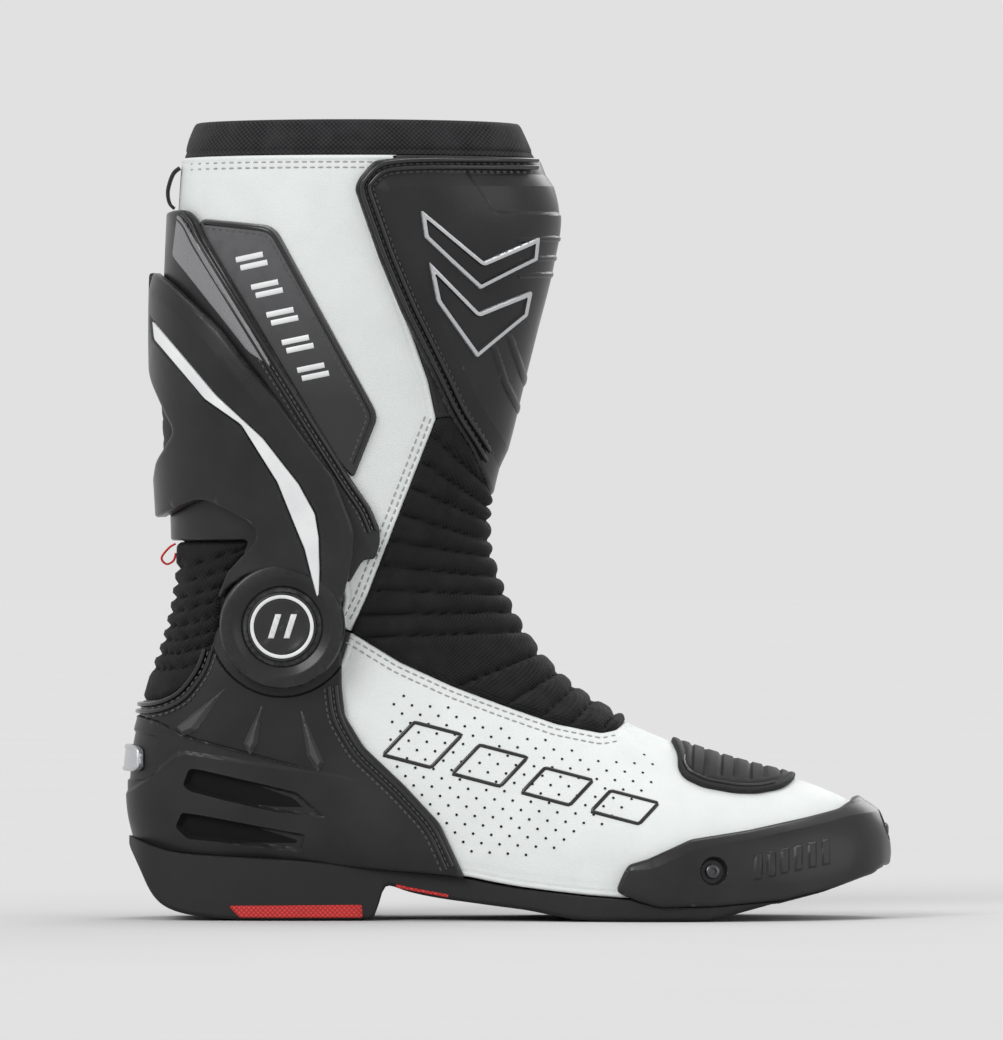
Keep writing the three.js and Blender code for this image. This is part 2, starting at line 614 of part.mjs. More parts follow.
function hinge(side) {
  const out = upperOut(HINGE, side);
  const face = out + SOCKET_FACE;
  const eyeIn = face + LAYER_GAP;
  const eyeOut = eyeIn + EYE_THICKNESS;
  const webOut = eyeIn + WEB_WALL;
  const boltHole = hubDrum(side, BOLT_RADIUS + RUNNING_FIT, 0, WIDE);
  const socket = hubDrum(side, SOCKET_RADIUS, 0, face).subtract(grown(COUNTER_OUT + LAYER_GAP));
  const bush = hubDrum(side, BOLT_RADIUS + RUNNING_FIT + BUSH_WALL, eyeIn, webOut);
  const eyeHole = join([
    hubDrum(side, CAP_RADIUS + CAP_CLEARANCE, webOut, WIDE),
    hubDrum(side, BOLT_RADIUS + 2 * RUNNING_FIT + BUSH_WALL, 0, WIDE),
  ]);
  return {
    out, face, eyeIn, eyeOut, eyeHole, boltHole,
    socket: socket.subtract(boltHole),
    bush: bush.subtract(boltHole),
    bolt: hubDrum(side, BOLT_RADIUS, out + COUNTER_OUT - 1, webOut),
    cap: hubDrum(side, CAP_RADIUS, webOut + RUNNING_CLEARANCE, eyeOut + 0.6),
    eye: hubDrum(side, EYE_RADIUS, eyeIn, eyeOut),
    armRoom: hubDrum(side, SOCKET_RADIUS + 0.6, 0, eyeIn),
  };
}
const outerHinge = hinge(SIDES.lateral);
const innerHinge = hinge(SIDES.medial);

const heelCounter = layer(join([counterCut, counterHub]), LAYER_GAP, COUNTER_OUT)
  .subtract(slotCut)
  .subtract(join([outerHinge.boltHole, innerHinge.boltHole]));

const onCounter = (region) => layer(region, COUNTER_OUT + LAYER_GAP, COUNTER_OUT + LAYER_GAP + TRIM_RISE);
const PIPING_WIDTH = 2.4;
const rimPiping = onCounter(
  band([[-80, 81.5], [-53, 83.8], [-47, 84.8], [-39, 89], [-31.5, 99.5], [-29.2, 107]], PIPING_WIDTH),
);
const frontPipingLine = [[21, 93], [22.5, 80.4], [30.4, 67.2], [46.6, 52.2], [60.4, 37.4], [68, 22]];
const frontPiping = onCounter(band(frontPipingLine, PIPING_WIDTH));
const frontPipingLateral = frontPiping.intersect(lateralHalf);
const frontPipingMedial = frontPiping.intersect(medialHalf);
const counterSpikes = SPIKES.map((outline) => onCounter(prism(outline, -WIDE, 0)));

const heelBadge = layer(
  prism([[-80, 59], [-56, 58.4], [-54, 60], [-54, 67], [-56, 68.6], [-80, 69]], -18, 18),
  COUNTER_OUT + LAYER_GAP,
  COUNTER_OUT + LAYER_GAP + BADGE_WALL,
);

const shiftPadOutline = [
  [153.8, 72], [157.2, 65.1], [156.8, 59.9], [159.4, 55.8], [166.8, 52.3], [179.8, 49.9],
  [188.4, 49.6], [198.9, 51.4], [204.1, 54.9], [206.7, 60], [206.7, 74], [153.8, 84],
];
const padGrooves = Array.from({ length: 7 }, (_, k) => [
  [160.5 + 6 * k, 44], [163.5 + 6 * k, 80],
]);
const PAD_OUT = LAYER_GAP + SHIFT_PAD_WALL;
const padCut = join(padGrooves.map((line) => band(line, 1.4, -WIDE, 24)))
  .intersect(prism([[162, 56.5], [186, 53.6], [200, 56], [203, 90], [158, 90], [160, 60]]))
  .intersect(grown(PAD_OUT + 1))
  .subtract(grown(PAD_OUT - 0.9));
const shiftPad = layer(prism(shiftPadOutline, -WIDE, 24), LAYER_GAP, PAD_OUT).subtract(padCut);

// The toe slider wraps the outer side of the toe and a little past its tip.
const sliderOutline = [
  [133.4, 11.4], [132.8, 13], [135, 18.3], [137.3, 22.2], [145, 24.4], [161.6, 31.7], [184, 34.8],
  [205.8, 39], [219.7, 42], [228.8, 46.9], [250, 48], [250, 24], [234.4, 21], [231.8, 18.3],
  [214.5, 12.2], [197, 7.9], [171, 6.2], [149.4, 6.2], [140.8, 8.3],
];
const SLIDER_OUT = LAYER_GAP + SLIDER_WALL;
const aroundTip = join([box(0, AHEAD, -WIDE, 2, 0, 60), box(placeX(226), AHEAD, 0, 22, 0, 60)]);
const sliderZone = prism(sliderOutline).intersect(aroundTip);
const sliderBlank = layer(sliderZone, LAYER_GAP, SLIDER_OUT);

// Screws through the slider: one on its side, one at the tip of the toe.
const SCREW_SIDE = [169.8, 19.3];
const sideOut = upperOut(place(SCREW_SIDE), SIDES.lateral);
const SCREW_HEAD_WALL = 1.6;
const screwSeat = LAYER_GAP + 2.2;
const sideScrew = join([
  drum(place(SCREW_SIDE), SCREW_HEAD_RADIUS, -sideOut - screwSeat - SCREW_HEAD_WALL - 0.3, -sideOut - screwSeat - 0.3, 24),
  drum(place(SCREW_SIDE), SCREW_SHANK_RADIUS, -sideOut - screwSeat - 0.5, -sideOut - 0.6, 24),
]);
const sideScrewRoom = join([
  drum(place(SCREW_SIDE), SCREW_RECESS_RADIUS, -WIDE, -sideOut - screwSeat, 24),
  drum(place(SCREW_SIDE), SCREW_SHANK_RADIUS + 0.3, -WIDE, 0, 24),
]);
const tipRod = (radius, x0, x1) =>
  toSolid(new THREE.CylinderGeometry(radius, radius, x1 - x0, 24).rotateZ(Math.PI / 2)
    .translate((x0 + x1) / 2, 2, placeZ(34.8)));
const tipX = placeX(237.3);
const tipScrew = join([
  tipRod(SCREW_HEAD_RADIUS, tipX + screwSeat + 0.3, tipX + screwSeat + 0.3 + SCREW_HEAD_WALL),
  tipRod(SCREW_SHANK_RADIUS, tipX + 0.8, tipX + screwSeat + 0.5),
]);
const tipScrewRoom = join([
  tipRod(SCREW_RECESS_RADIUS, tipX + screwSeat, 300),
  tipRod(SCREW_SHANK_RADIUS + 0.3, 200, 300),
]);
const toeSlider = sliderBlank.subtract(sideScrewRoom).subtract(tipScrewRoom);

// ---------------------------------------------------------------- moulded parts on the shaft
const patchOutline = [
  [-31.8, 278.7], [-4.9, 275.6], [-1.4, 273], [36.7, 202.8], [37.6, 199], [28.2, 175.3],
  [10, 195], [-34, 268],
];
const PATCH_OUT = LAYER_GAP + PATCH_WALL;
const sidePatch = layer(prism(patchOutline, -WIDE, 0), LAYER_GAP, PATCH_OUT);

const calfPlateLateral = [
  [-80, 281], [-43.9, 281.3], [-38.7, 282.4], [-35.2, 281.7], [-32.6, 279.1], [-29, 270.8],
  [12.9, 198.8], [27.4, 174.8], [34.6, 164.1], [38.1, 155.5], [38.1, 149.8], [36, 143.4],
  [31.3, 143.4], [25.8, 133.6], ...arc(HINGE, SHAFT_HUB_RADIUS + 1, 40, 118, 6).map(unplaceNearHinge), [-12, 151], [-80, 150],
];
const calfPlateMedial = [
  [-80, 281], [-43.9, 281.3], [-36, 278], [-31, 268], [-16, 228], [-5, 196], [-3, 172], [-6, 151.5],
  [-80, 150],
];
const CALF_IN = PATCH_OUT + LAYER_GAP;
const CALF_OUT = CALF_IN + CALF_PLATE_WALL;
const calfPlate = layer(bySide(calfPlateLateral, calfPlateMedial), CALF_IN, CALF_OUT);
const calfGuard = layer(
  prism([[-80, 226], [-45.6, 225], [-41, 214], [-37, 201], [-35, 195], [-36, 189], [-42, 174], [-80, 174]]),
  CALF_OUT + LAYER_GAP,
  BRACE_LIFT - LAYER_GAP,
);

const SHIN_OUT = LAYER_GAP + SHIN_WALL;
const shinPlateLateral = [
  [150, 303], [46.8, 302.4], [36.4, 301], [30.6, 294.2], [28.8, 290], [38.7, 261.6], [46.8, 242],
  [60, 214.2], [66.4, 199.6], [74.6, 186.6], [82.6, 167.2], [84, 167.6], [87.7, 172.3], [92, 177],
  [150, 177],
];
const shinPlateMedial = [
  [150, 303], [62, 302.4], [59.5, 298], [59, 262], [61, 235], [64.4, 208], [66.4, 199.6],
  [74.6, 186.6], [82.6, 167.2], [84, 167.6], [87.7, 172.3], [92, 177], [150, 177],
];
const shinPlate = layer(bySide(shinPlateLateral, shinPlateMedial), LAYER_GAP, SHIN_OUT);
const onShin = (region) => layer(region, SHIN_OUT + LAYER_GAP, SHIN_OUT + LAYER_GAP + SHIN_TRIM_RISE);
const shinPiping = onShin(
  band(
    [
      [46, 301], [37.6, 299.6], [32.6, 293.4], [31.2, 290], [40.8, 262.4], [48.9, 242.8],
      [62.1, 215.1], [68.3, 201], [76.4, 188], [83.4, 171.5],
    ],
    2.2, -WIDE, 0,
  ),
);
const EMBLEM_UPPER = [[54, 282], [78, 262], [99, 272], [98, 263], [76.5, 251], [55.5, 271]];
const EMBLEM_LOWER = [[57, 262], [76, 242], [96, 251], [94, 241], [75, 224], [60, 246]];
const emblemUpper = onShin(prism(EMBLEM_UPPER, -WIDE, 0));
const emblemLower = onShin(prism(EMBLEM_LOWER, -WIDE, 0));

const pullLoop = band(
  smooth([[-41.6, 299.6], [-44.4, 297], [-46.4, 290.6], [-45.8, 285.6], [-43.9, 283.4]], 8), 1.2, -7, 7,
);
const redTab = band(
  smooth([[-43.1, 149.3], [-45.7, 147.7], [-48.7, 143.7], [-46.7, 141.2], [-43.9, 142.6], [-43, 145.6]], 8),
  1.2, -13, -8,
);

// ---------------------------------------------------------------- the brace
const braceLateral = [
  [-80, 261], [-51, 262], [-46.9, 260.6], [-37.2, 252], [-20.8, 234.8], [-11, 221], [-0.4, 207.2],
  [9.4, 192.4], [20, 176.9], [26.6, 158.2], [27.4, 154.1], [26.7, 144.8], [23.1, 129.1],
  [20, 116.5], [0, 112], [-22, 124], [-17.6, 137.6], [-11.2, 146.2], [-7.6, 151.2], [-7.2, 154.8],
  [-9, 157.6], [-14.8, 162], [-23.3, 167], [-26.9, 168], [-32.6, 165.5], [-48.3, 155.5],
  [-80, 154], [-80, 176], [-42.4, 175], [-41.2, 182.6], [-36.3, 192.4], [-35.5, 195.7],
  [-37.9, 200.6], [-42.8, 213.6], [-44.9, 221.8], [-45.5, 229], [-80, 231],
];
const braceMedial = [
  [-80, 261], [-51, 262], [-46.9, 260.6], [-37.2, 252], [-24, 234], [-13, 210], [-5, 186],
  [0, 165], [6, 148], [13, 136], [20, 124], [20, 116.5], [0, 112], [-22, 124], [-17, 138],
  [-14, 150], [-16, 166], [-22, 186], [-31, 206], [-42, 224], [-48, 230.6], [-80, 231],
];
const lowerWingTip = [[-80, 154], [-80, 176], [-42.4, 175], [-36, 168], [-48.3, 155.5]];
const BRACE_OUT = BRACE_LIFT + BRACE_WALL;
const arms = layer(
  join([bySide(braceLateral, braceMedial), prism(lowerWingTip, -1, 14)]), BRACE_LIFT, BRACE_OUT,
);
const inlayOutline = [
  [-42.8, 239.8], [-20.4, 209.2], [-4.4, 192.4], [7.8, 174.5], [13.5, 162.2], [14.7, 152.4],
  [14.9, 140.5], [14.2, 128.6], [12.6, 128.6], [11, 136.2], [8.8, 147.6], [-0.4, 174.8],
  [-12.6, 197.3], [-24.9, 207.2], [-42, 230.8],
];
const INLAY_DEPTH = 1.2;
const INLAY_RISE = 0.3;
const inlayRegion = prism(inlayOutline, -WIDE, 0);
const inlayPocket = layer(inlayRegion, BRACE_OUT - INLAY_DEPTH, BRACE_OUT + 2);
const braceInlay = layer(
  prism(shrink(inlayOutline, LAYER_GAP), -WIDE, 0),
  BRACE_OUT - INLAY_DEPTH + LAYER_GAP,
  BRACE_OUT + INLAY_RISE,
);
const brace = arms
  .subtract(join([outerHinge.armRoom, innerHinge.armRoom]))
  .add(outerHinge.eye)
  .add(innerHinge.eye)
  .subtract(join([outerHinge.eyeHole, innerHinge.eyeHole]))
  .subtract(inlayPocket);

const capEmblem = join([
  plainPrism([[-7, HINGE_HEIGHT - 4], [-2, HINGE_HEIGHT + 6], [0.6, HINGE_HEIGHT + 6], [-4.4, HINGE_HEIGHT - 4]],
    -outerHinge.eyeOut - 1.5, -outerHinge.eyeOut - 0.9),
]);

// ---------------------------------------------------------------- sole
const PLAN = smooth(
  [
    [-62, 0], [-56, -22], [-40, -33], [0, -38], [40, -37], [80, -41], [108, -48], [130, -52.5],
    [150, -53.5], [172, -51.5], [196, -45], [218, -33], [234, -14], [240, 4], [236, 20], [224, 34],
    [202, 45], [175, 50], [150, 50.5], [126, 48], [104, 43.5], [80, 38], [40, 34], [0, 36],
    [-40, 32], [-56, 21], [-62, 0],
  ],
  52,
).slice(0, -1);
const ballScale = BALL_WIDTH / REFERENCE_BALL;
const planShape = new THREE.Shape(
  PLAN.map(([x, y]) => new THREE.Vector2(placeX(x), y * ballScale)),
);
const planGeometry = new THREE.ExtrudeGeometry(planShape, { depth: 120, bevelEnabled: false });
const planPrism = toSolid(planGeometry.translate(0, 0, -10));
const TREAD = [
  [240, 23], [230, 17.6], [218, 13.2], [206, 9.6], [194, 6.4], [182, 3.2], [172, 0.5], [168, 0], [120, 0], [110, 1.4], [98, 4],
  [86, 5.4], [74, 7], [62, 8.6], [50, 11], [42.4, 14], [40, 12.6], [38.4, 6.8], [36.8, 1.6],
  [35, 0], [-21.6, 0], [-38.4, 1.8], [-47.6, 5], [-53, 10.6], [-57.6, 20.6], [-64, 31.4],
];
const soleSide = [...SOLE_TOP.slice(1, -1), ...TREAD];
const soleBlank = prism(soleSide).intersect(planPrism);

const HEEL_GRIP = [[-21.6, 5.6], [31.6, 6], [32, 1], [-17, 1]];
const ARCH_GRIP = [[45, 2], [45, 14.3], [50, 13], [67, 10.2], [67, 2]];
const heelGrip = soleBlank.intersect(prism(shrink(HEEL_GRIP, LAYER_GAP)));
const archGrip = soleBlank.intersect(prism(shrink(ARCH_GRIP, LAYER_GAP)));

const alongSole = (low, high, x0, x1) => {
  const line = SOLE_TOP.filter(([x]) => x >= x0 && x <= x1).map(place);
  const raise = (by) => line.map(([x, z]) => [x, z + by]);
  return plainPrism([...raise(high), ...reversed(raise(low))], -WIDE, WIDE);
};
const wholeSole = [-90, 260];
const SHANK_RANGE = [-25, 110];
const shankRoom = alongSole(-SHANK_WALL - 2 * LAYER_GAP, 5, -28, 113)
  .intersect(box(-WIDE, AHEAD, -SHANK_WIDTH / 2 - 0.3, SHANK_WIDTH / 2 + 0.3, 0, 60));
const shank = alongSole(-SHANK_WALL - LAYER_GAP, -LAYER_GAP, ...SHANK_RANGE)
  .intersect(box(-WIDE, AHEAD, -SHANK_WIDTH / 2, SHANK_WIDTH / 2, 0, 60));
const sliderRoom = prism(shrink(sliderOutline, -LAYER_GAP))
  .intersect(join([box(0, AHEAD, -WIDE, 2.3, 0, 60), box(placeX(226) - 0.3, AHEAD, 0, 22.3, 0, 60)]))
  .subtract(grown(0));
const outsole = soleBlank
  .subtract(join([prism(HEEL_GRIP), prism(ARCH_GRIP), shankRoom]))
  .subtract(sliderRoom);

const insideLining = grown(FOOT_LINING_OUT - LINING_WALL - LAYER_GAP);
const insoleBoard = alongSole(SEAM_GAP, SEAM_GAP + BOARD_WALL, ...wholeSole).intersect(insideLining);
const FOOTBED_FROM = SEAM_GAP + BOARD_WALL + LAYER_GAP;
const footbed = alongSole(FOOTBED_FROM, FOOTBED_FROM + FOOTBED_WALL, ...wholeSole)
  .intersect(insideLining);

// ---------------------------------------------------------------- zip slider, pull and cuff flap
// The zip's own frame: x across it, y out of the boot, z up along it, origin at its top end.
const zipPoint = (point) => {
  const [x, z] = place(point);
  return new THREE.Vector3(x, upperOut([x, z], SIDES.medial), z);
};
const zipUp = zipPoint(ZIP_TOP).sub(zipPoint(ZIP_FOOT)).normalize();
const zipAcross = zipPoint([ZIP_TOP[0] + 6, ZIP_TOP[1]]).sub(zipPoint([ZIP_TOP[0] - 6, ZIP_TOP[1]]));
const zipOut = zipUp.clone().cross(zipAcross).normalize();
zipAcross.crossVectors(zipOut, zipUp).normalize();
const zipFrame = new THREE.Matrix4()
  .makeBasis(zipAcross, zipOut, zipUp)
  .setPosition(zipPoint(ZIP_TOP));
const inZip = (geometry) => toSolid(geometry.applyMatrix4(zipFrame));
const zipBox = (x0, x1, y0, y1, z0, z1) =>
  inZip(new THREE.BoxGeometry(x1 - x0, y1 - y0, z1 - z0)
    .translate((x0 + x1) / 2, (y0 + y1) / 2, (z0 + z1) / 2));
const zipPin = (radius, x0, x1, y, z) =>
  inZip(new THREE.CylinderGeometry(radius, radius, x1 - x0, 20).rotateZ(Math.PI / 2)
    .translate((x0 + x1) / 2, y, z));
const SLIDER_LIFT = 0.9;
const SLIDER_BODY = 2;
const PIN_RADIUS = 0.9;
const PIN_OUT = SLIDER_LIFT + SLIDER_BODY + 1.5;
const PIN_Z = -ZIP_SLIDER_LENGTH / 2 - 1;
const half = ZIP_SLIDER_WIDTH / 2;
const zipSlider = join([
  zipBox(-half, half, SLIDER_LIFT, SLIDER_LIFT + SLIDER_BODY, -ZIP_SLIDER_LENGTH, 0),
  zipBox(-half, -half + 1.2, SLIDER_LIFT + 1, PIN_OUT + 1.5, PIN_Z - 2, PIN_Z + 2),
  zipBox(half - 1.2, half, SLIDER_LIFT + 1, PIN_OUT + 1.5, PIN_Z - 2, PIN_Z + 2),
]).subtract(zipPin(PIN_RADIUS + RUNNING_FIT, -9, 9, PIN_OUT, PIN_Z));
const PULL_HALF = half - 1.2 - RUNNING_CLEARANCE;
const zipPull = join([
  zipPin(PIN_RADIUS, -half, half, PIN_OUT, PIN_Z),
  zipBox(-PULL_HALF, PULL_HALF, PIN_OUT - 0.7, PIN_OUT + 0.7, PIN_Z - 20, PIN_Z),
]).subtract(zipBox(-1.2, 1.2, 0, 9, PIN_Z - 17, PIN_Z - 6));

const FLAP_HINGE_X = 55;
const FLAP_IN = 0.6;
const FLAP_WALL = 2;
const flapOutline = [
  [FLAP_HINGE_X + 0.8, 271], [FLAP_HINGE_X + 0.8, 300], [-8, 300], [-13, 297], [-15, 291],
  [-15, 280], [-13, 274], [-8, 271],
];
const cuffFlap = layer(prism(flapOutline, 0, WIDE), FLAP_IN, FLAP_IN + FLAP_WALL);

// ---------------------------------------------------------------- assembly
const boot = new THREE.Group();
boot.name = "motorcycle_racing_boot";
const add = (name, solid, material) => boot.add(toMesh(name, solid, material));

add("outsole", outsole, BLACK_RUBBER);
add("heel_grip_insert", heelGrip, RED_RUBBER);
add("arch_grip_insert", archGrip, RED_RUBBER);
add("shank", shank, STEEL);
add("insole_board", insoleBoard, BOARD_FIBRE);
add("footbed", footbed, FOAM);
add("vamp", vamp, WHITE_LEATHER);
add("quarter", quarter, BLACK_LEATHER);
add("toe_puff", toePuff, BLACK_PLASTIC);
add("heel_stiffener", heelStiffener, BLACK_PLASTIC);
add("lining_foot", liningFoot, LINING_FABRIC);
add("front_stretch_panel", frontFlex, STRETCH_FABRIC);
add("rear_stretch_panel", rearFlex, STRETCH_FABRIC);
add("ankle_gusset_lateral", gussetLateral, STRETCH_FABRIC);
add("ankle_gusset_medial", gussetMedial, STRETCH_FABRIC);
add("heel_counter", heelCounter, BLACK_PLASTIC);
add("counter_rim_piping", rimPiping, GLOSS_BLACK);
add("counter_front_piping_lateral", frontPipingLateral, GLOSS_BLACK);
add("counter_front_piping_medial", frontPipingMedial, GLOSS_BLACK);
counterSpikes.forEach((solid, k) => add(`counter_spike_${k + 1}`, solid, GLOSS_BLACK));
add("heel_badge", heelBadge, SILVER);
add("toe_slider", toeSlider, BLACK_PLASTIC);
add("toe_slider_screw_side", sideScrew, STEEL);
add("toe_slider_screw_tip", tipScrew, STEEL);
add("shift_pad", shiftPad, BLACK_RUBBER);
for (const [side, set] of [["lateral", outerHinge], ["medial", innerHinge]]) {
  add(`hinge_socket_${side}`, set.socket, BLACK_PLASTIC);
  add(`hinge_bolt_${side}`, set.bolt, STEEL);
  add(`hinge_bush_${side}`, set.bush, STEEL);
  add(`hinge_cap_${side}`, set.cap, GLOSS_BLACK);
}
add("hinge_cap_emblem", capEmblem, WHITE_PLASTIC);
add("shaft_panel_lateral", shaftPanelLateral, WHITE_LEATHER);
add("shaft_panel_medial", shaftPanelMedial, WHITE_LEATHER);
add("shin_panel", shinPanel, BLACK_LEATHER);
add("calf_panel", calfPanel, BLACK_LEATHER);
add("lining_shaft", liningShaft, LINING_FABRIC);
add("collar", collar, STRETCH_FABRIC);
add("shin_plate", shinPlate, BLACK_PLASTIC);
add("shin_piping", shinPiping, GLOSS_BLACK);
add("shin_emblem_upper", emblemUpper, SILVER);
add("shin_emblem_lower", emblemLower, SILVER);
add("side_patch", sidePatch, GLOSS_BLACK);
add("calf_plate", calfPlate, BLACK_PLASTIC);
add("calf_guard", calfGuard, BLACK_RUBBER);
add("rear_pull_loop", pullLoop, BLACK_LEATHER);
add("red_tab", redTab, RED_RIBBON);
add("zip_tape", zipTape, STRETCH_FABRIC);
add("zip_chain", zipChain, GLOSS_BLACK);
add("brace", brace, BLACK_PLASTIC);
add("brace_inlay", braceInlay, WHITE_PLASTIC);
add("zip_slider", zipSlider, STEEL);
add("zip_pull", zipPull, STEEL);
add("cuff_flap", cuffFlap, WHITE_LEATHER);

export default boot;
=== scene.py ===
"""Looks for the motorcycle racing boot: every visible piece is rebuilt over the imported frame.
Lengths in the tables are millimetres in the part's frame; -Y is the outer side."""
import math
import bpy
import numpy as np
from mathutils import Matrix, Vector
from mathutils.bvhtree import BVHTree


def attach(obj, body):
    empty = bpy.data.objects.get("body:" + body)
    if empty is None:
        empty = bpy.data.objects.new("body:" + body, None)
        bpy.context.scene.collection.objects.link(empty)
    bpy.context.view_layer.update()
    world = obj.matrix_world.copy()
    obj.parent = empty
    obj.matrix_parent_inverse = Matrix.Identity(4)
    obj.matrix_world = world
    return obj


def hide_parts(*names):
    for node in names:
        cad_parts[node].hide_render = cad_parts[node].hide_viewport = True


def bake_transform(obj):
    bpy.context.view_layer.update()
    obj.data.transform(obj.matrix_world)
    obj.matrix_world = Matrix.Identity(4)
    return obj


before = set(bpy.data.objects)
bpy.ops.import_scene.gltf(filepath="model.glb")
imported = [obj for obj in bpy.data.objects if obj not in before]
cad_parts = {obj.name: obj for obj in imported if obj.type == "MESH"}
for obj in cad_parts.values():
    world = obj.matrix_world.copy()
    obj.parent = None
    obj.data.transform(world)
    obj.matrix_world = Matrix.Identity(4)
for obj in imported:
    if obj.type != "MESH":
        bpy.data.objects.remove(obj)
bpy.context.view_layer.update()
MM = 0.001
PIVOT = (0.0, 116.5)
SIDES = ((-1, "lateral"), (1, "medial"))

# ------------------------------------------------------------------ the last: the same loft as the frame
# top x, top z, under x, under z, half width, sideways, widest, top power, under power
STATIONS = np.array([
    (237.5, 26, 237.5, 26, 0, 4, 0.6, 2, 2), (236.6, 33, 236.4, 19, 6.4, 4, 0.6, 2, 2.4),
    (233.5, 40, 233, 12, 15, 3.8, 0.62, 2, 2.8), (227.5, 45.6, 226.5, 6, 23.5, 3.5, 0.65, 2, 3.2),
    (218, 50.4, 216.5, 1.5, 31, 3, 0.68, 2, 3.6), (204, 55.6, 202, -3, 38.5, 2, 0.7, 2, 4),
    (181, 61.5, 178, -6, 45.5, 0, 0.72, 2, 4), (158, 69, 154, -6, 49, -1.5, 0.72, 2, 4),
    (137, 78, 124, -4, 48, -2, 0.7, 2, 4), (120, 87.5, 92, 1, 44.5, -2, 0.66, 2, 4),
    (106, 99.5, 58, 6, 41, -1.5, 0.62, 2, 3.8), (95.5, 113, 22, 10, 38.5, -1, 0.6, 2, 3.4),
    (87.5, 128, -14, 12, 37, 0, 0.58, 2, 3), (82, 143, -46, 14, 36.5, 0, 0.56, 2, 2.6),
    (80.5, 156, -58.5, 38, 36.5, 0, 0.56, 2, 2.3), (82, 169, -59, 66, 37, 0, 0.56, 2, 2.2),
    (85, 182, -52.5, 92, 37.5, 0, 0.56, 2, 2.1), (88.5, 195, -44.5, 118, 38, 0, 0.56, 2, 2),
    (92.5, 212, -40.5, 146, 40, 0, 0.56, 2, 2), (98, 234, -42, 184, 44.5, 0, 0.56, 2, 2),
    (104.5, 260, -43.5, 225, 49, 0, 0.56, 2, 2), (107.5, 282, -43, 262, 52, 0, 0.55, 2, 2),
    (101, 303.5, -40.5, 303, 53, 0, 0.54, 2, 2), (94.5, 318.5, -36, 318.5, 50.5, 0, 0.53, 2, 2),
    (88, 334, -32, 334, 48, 0, 0.53, 2, 2)], float)
PER_STATION = 14
AROUND = 216


def catmull(points, i, t):
    """The smooth curve through the points, at share t of the way from point i to the next."""
    a, b, c, d = (points[min(max(k, 0), len(points) - 1)] for k in (i - 1, i, i + 1, i + 2))
    return 0.5 * (2 * b + (c - a) * t + (2 * a - 5 * b + 4 * c - d) * t**2
                  + (3 * b - a - 3 * c + d) * t**3)


def section(u):
    i = min(int(u), len(STATIONS) - 2)
    return catmull(STATIONS, i, u - i)


def unit(v):
    """Each vector along the last axis of v, scaled to length one."""
    return v / np.maximum(np.linalg.norm(v, axis=-1, keepdims=True), 1e-9)


def grid_triangles(rows, columns, closed=False):
    """Two triangles for each cell of a grid of points; closed joins the last column to the first."""
    i, j = np.meshgrid(np.arange(rows - 1), np.arange(columns if closed else columns - 1), indexing="ij")
    near, far, right = i * columns, (i + 1) * columns, (j + 1) % columns
    first = np.stack([near + j, far + j, far + right], -1).reshape(-1, 3)
    second = np.stack([near + j, far + right, near + right], -1).reshape(-1, 3)
    return np.concatenate([first, second])


def ring(u, count=AROUND):
    tx, tz, bx, bz, half, side, widest, p1, p2 = section(u)
    angle = np.linspace(0, math.pi, 240)
    power = np.where(angle <= math.pi / 2, 2 / p1, 2 / p2)
    along = np.sign(np.cos(angle)) * np.abs(np.cos(angle)) ** power
    across = max(half, 0) * np.abs(np.sin(angle)) ** power
    share = widest - along * np.where(along > 0, widest, 1 - widest)
    run = np.hypot(np.diff(share) * math.hypot(tx - bx, tz - bz), np.diff(across))
    run = np.concatenate([[0], np.cumsum(run)])
    n = count // 2
    at = np.linspace(0, run[-1], n + 1)
    s, w = np.interp(at, run, share), np.interp(at, run, across)
    s = np.concatenate([s, s[1:-1][::-1]])
    w = np.concatenate([-w, w[1:-1][::-1]])
    return np.stack([tx + (bx - tx) * s, side + w, tz + (bz - tz) * s], 1)


LAST_U = len(STATIONS) - 1
RINGS = LAST_U * PER_STATION
GRID = np.array([ring(LAST_U * max(i, 0.35) / RINGS) for i in range(RINGS + 1)])


def grid_normals(g):
    along = np.empty_like(g)
    along[1:-1] = g[2:] - g[:-2]
    along[0], along[-1] = g[1] - g[0], g[-1] - g[-2]
    round_ = np.roll(g, -1, 1) - np.roll(g, 1, 1)
    return unit(np.cross(along, round_))


NORMALS = grid_normals(GRID)
V0 = np.concatenate([GRID.reshape(-1, 3), NORMALS.reshape(-1, 3)], 1)
T0 = grid_triangles(RINGS + 1, AROUND, True)
BVH = BVHTree.FromPolygons([Vector(v) for v in V0[:, :3]], [tuple(t) for t in T0.tolist()])


def on_last(x, z, side, lift=0.0):
    """Point and outward normal on the last, seen from the outer (-1) or inner (1) side."""
    hit, _, face, _ = BVH.ray_cast(Vector((x, side * 200, z)), Vector((0, -side, 0)))
    if hit is None:
        hit, _, face, _ = BVH.find_nearest(Vector((x, side * 30, z)))
    tri = T0[face]
    w = 1 / (np.linalg.norm(V0[tri, :3] - np.array(hit), axis=1) + 1e-3)
    n = (V0[tri, 3:] * w[:, None]).sum(0)
    n /= np.linalg.norm(n)
    return np.array(hit) + n * lift, n


# ------------------------------------------------------------------ outlines and distance fields
def rounded(points, r=2.0, closed=True, steps=4):
    """The polyline with each corner replaced by a short curve."""
    p = np.array(points, float)
    n = len(p)
    out = []
    for k in range(n):
        if not closed and k in (0, n - 1):
            out.append(p[k])
            continue
        a, b, c = p[k - 1], p[k], p[(k + 1) % n]
        la, lc = np.linalg.norm(a - b), np.linalg.norm(c - b)
        ra, rc = min(r, 0.47 * la), min(r, 0.47 * lc)
        s, e = b + (a - b) / max(la, 1e-9) * ra, b + (c - b) / max(lc, 1e-9) * rc
        for t in np.linspace(0, 1, steps + 1):
            out.append((1 - t) ** 2 * s + 2 * t * (1 - t) * b + t**2 * e)
    return np.array(out)


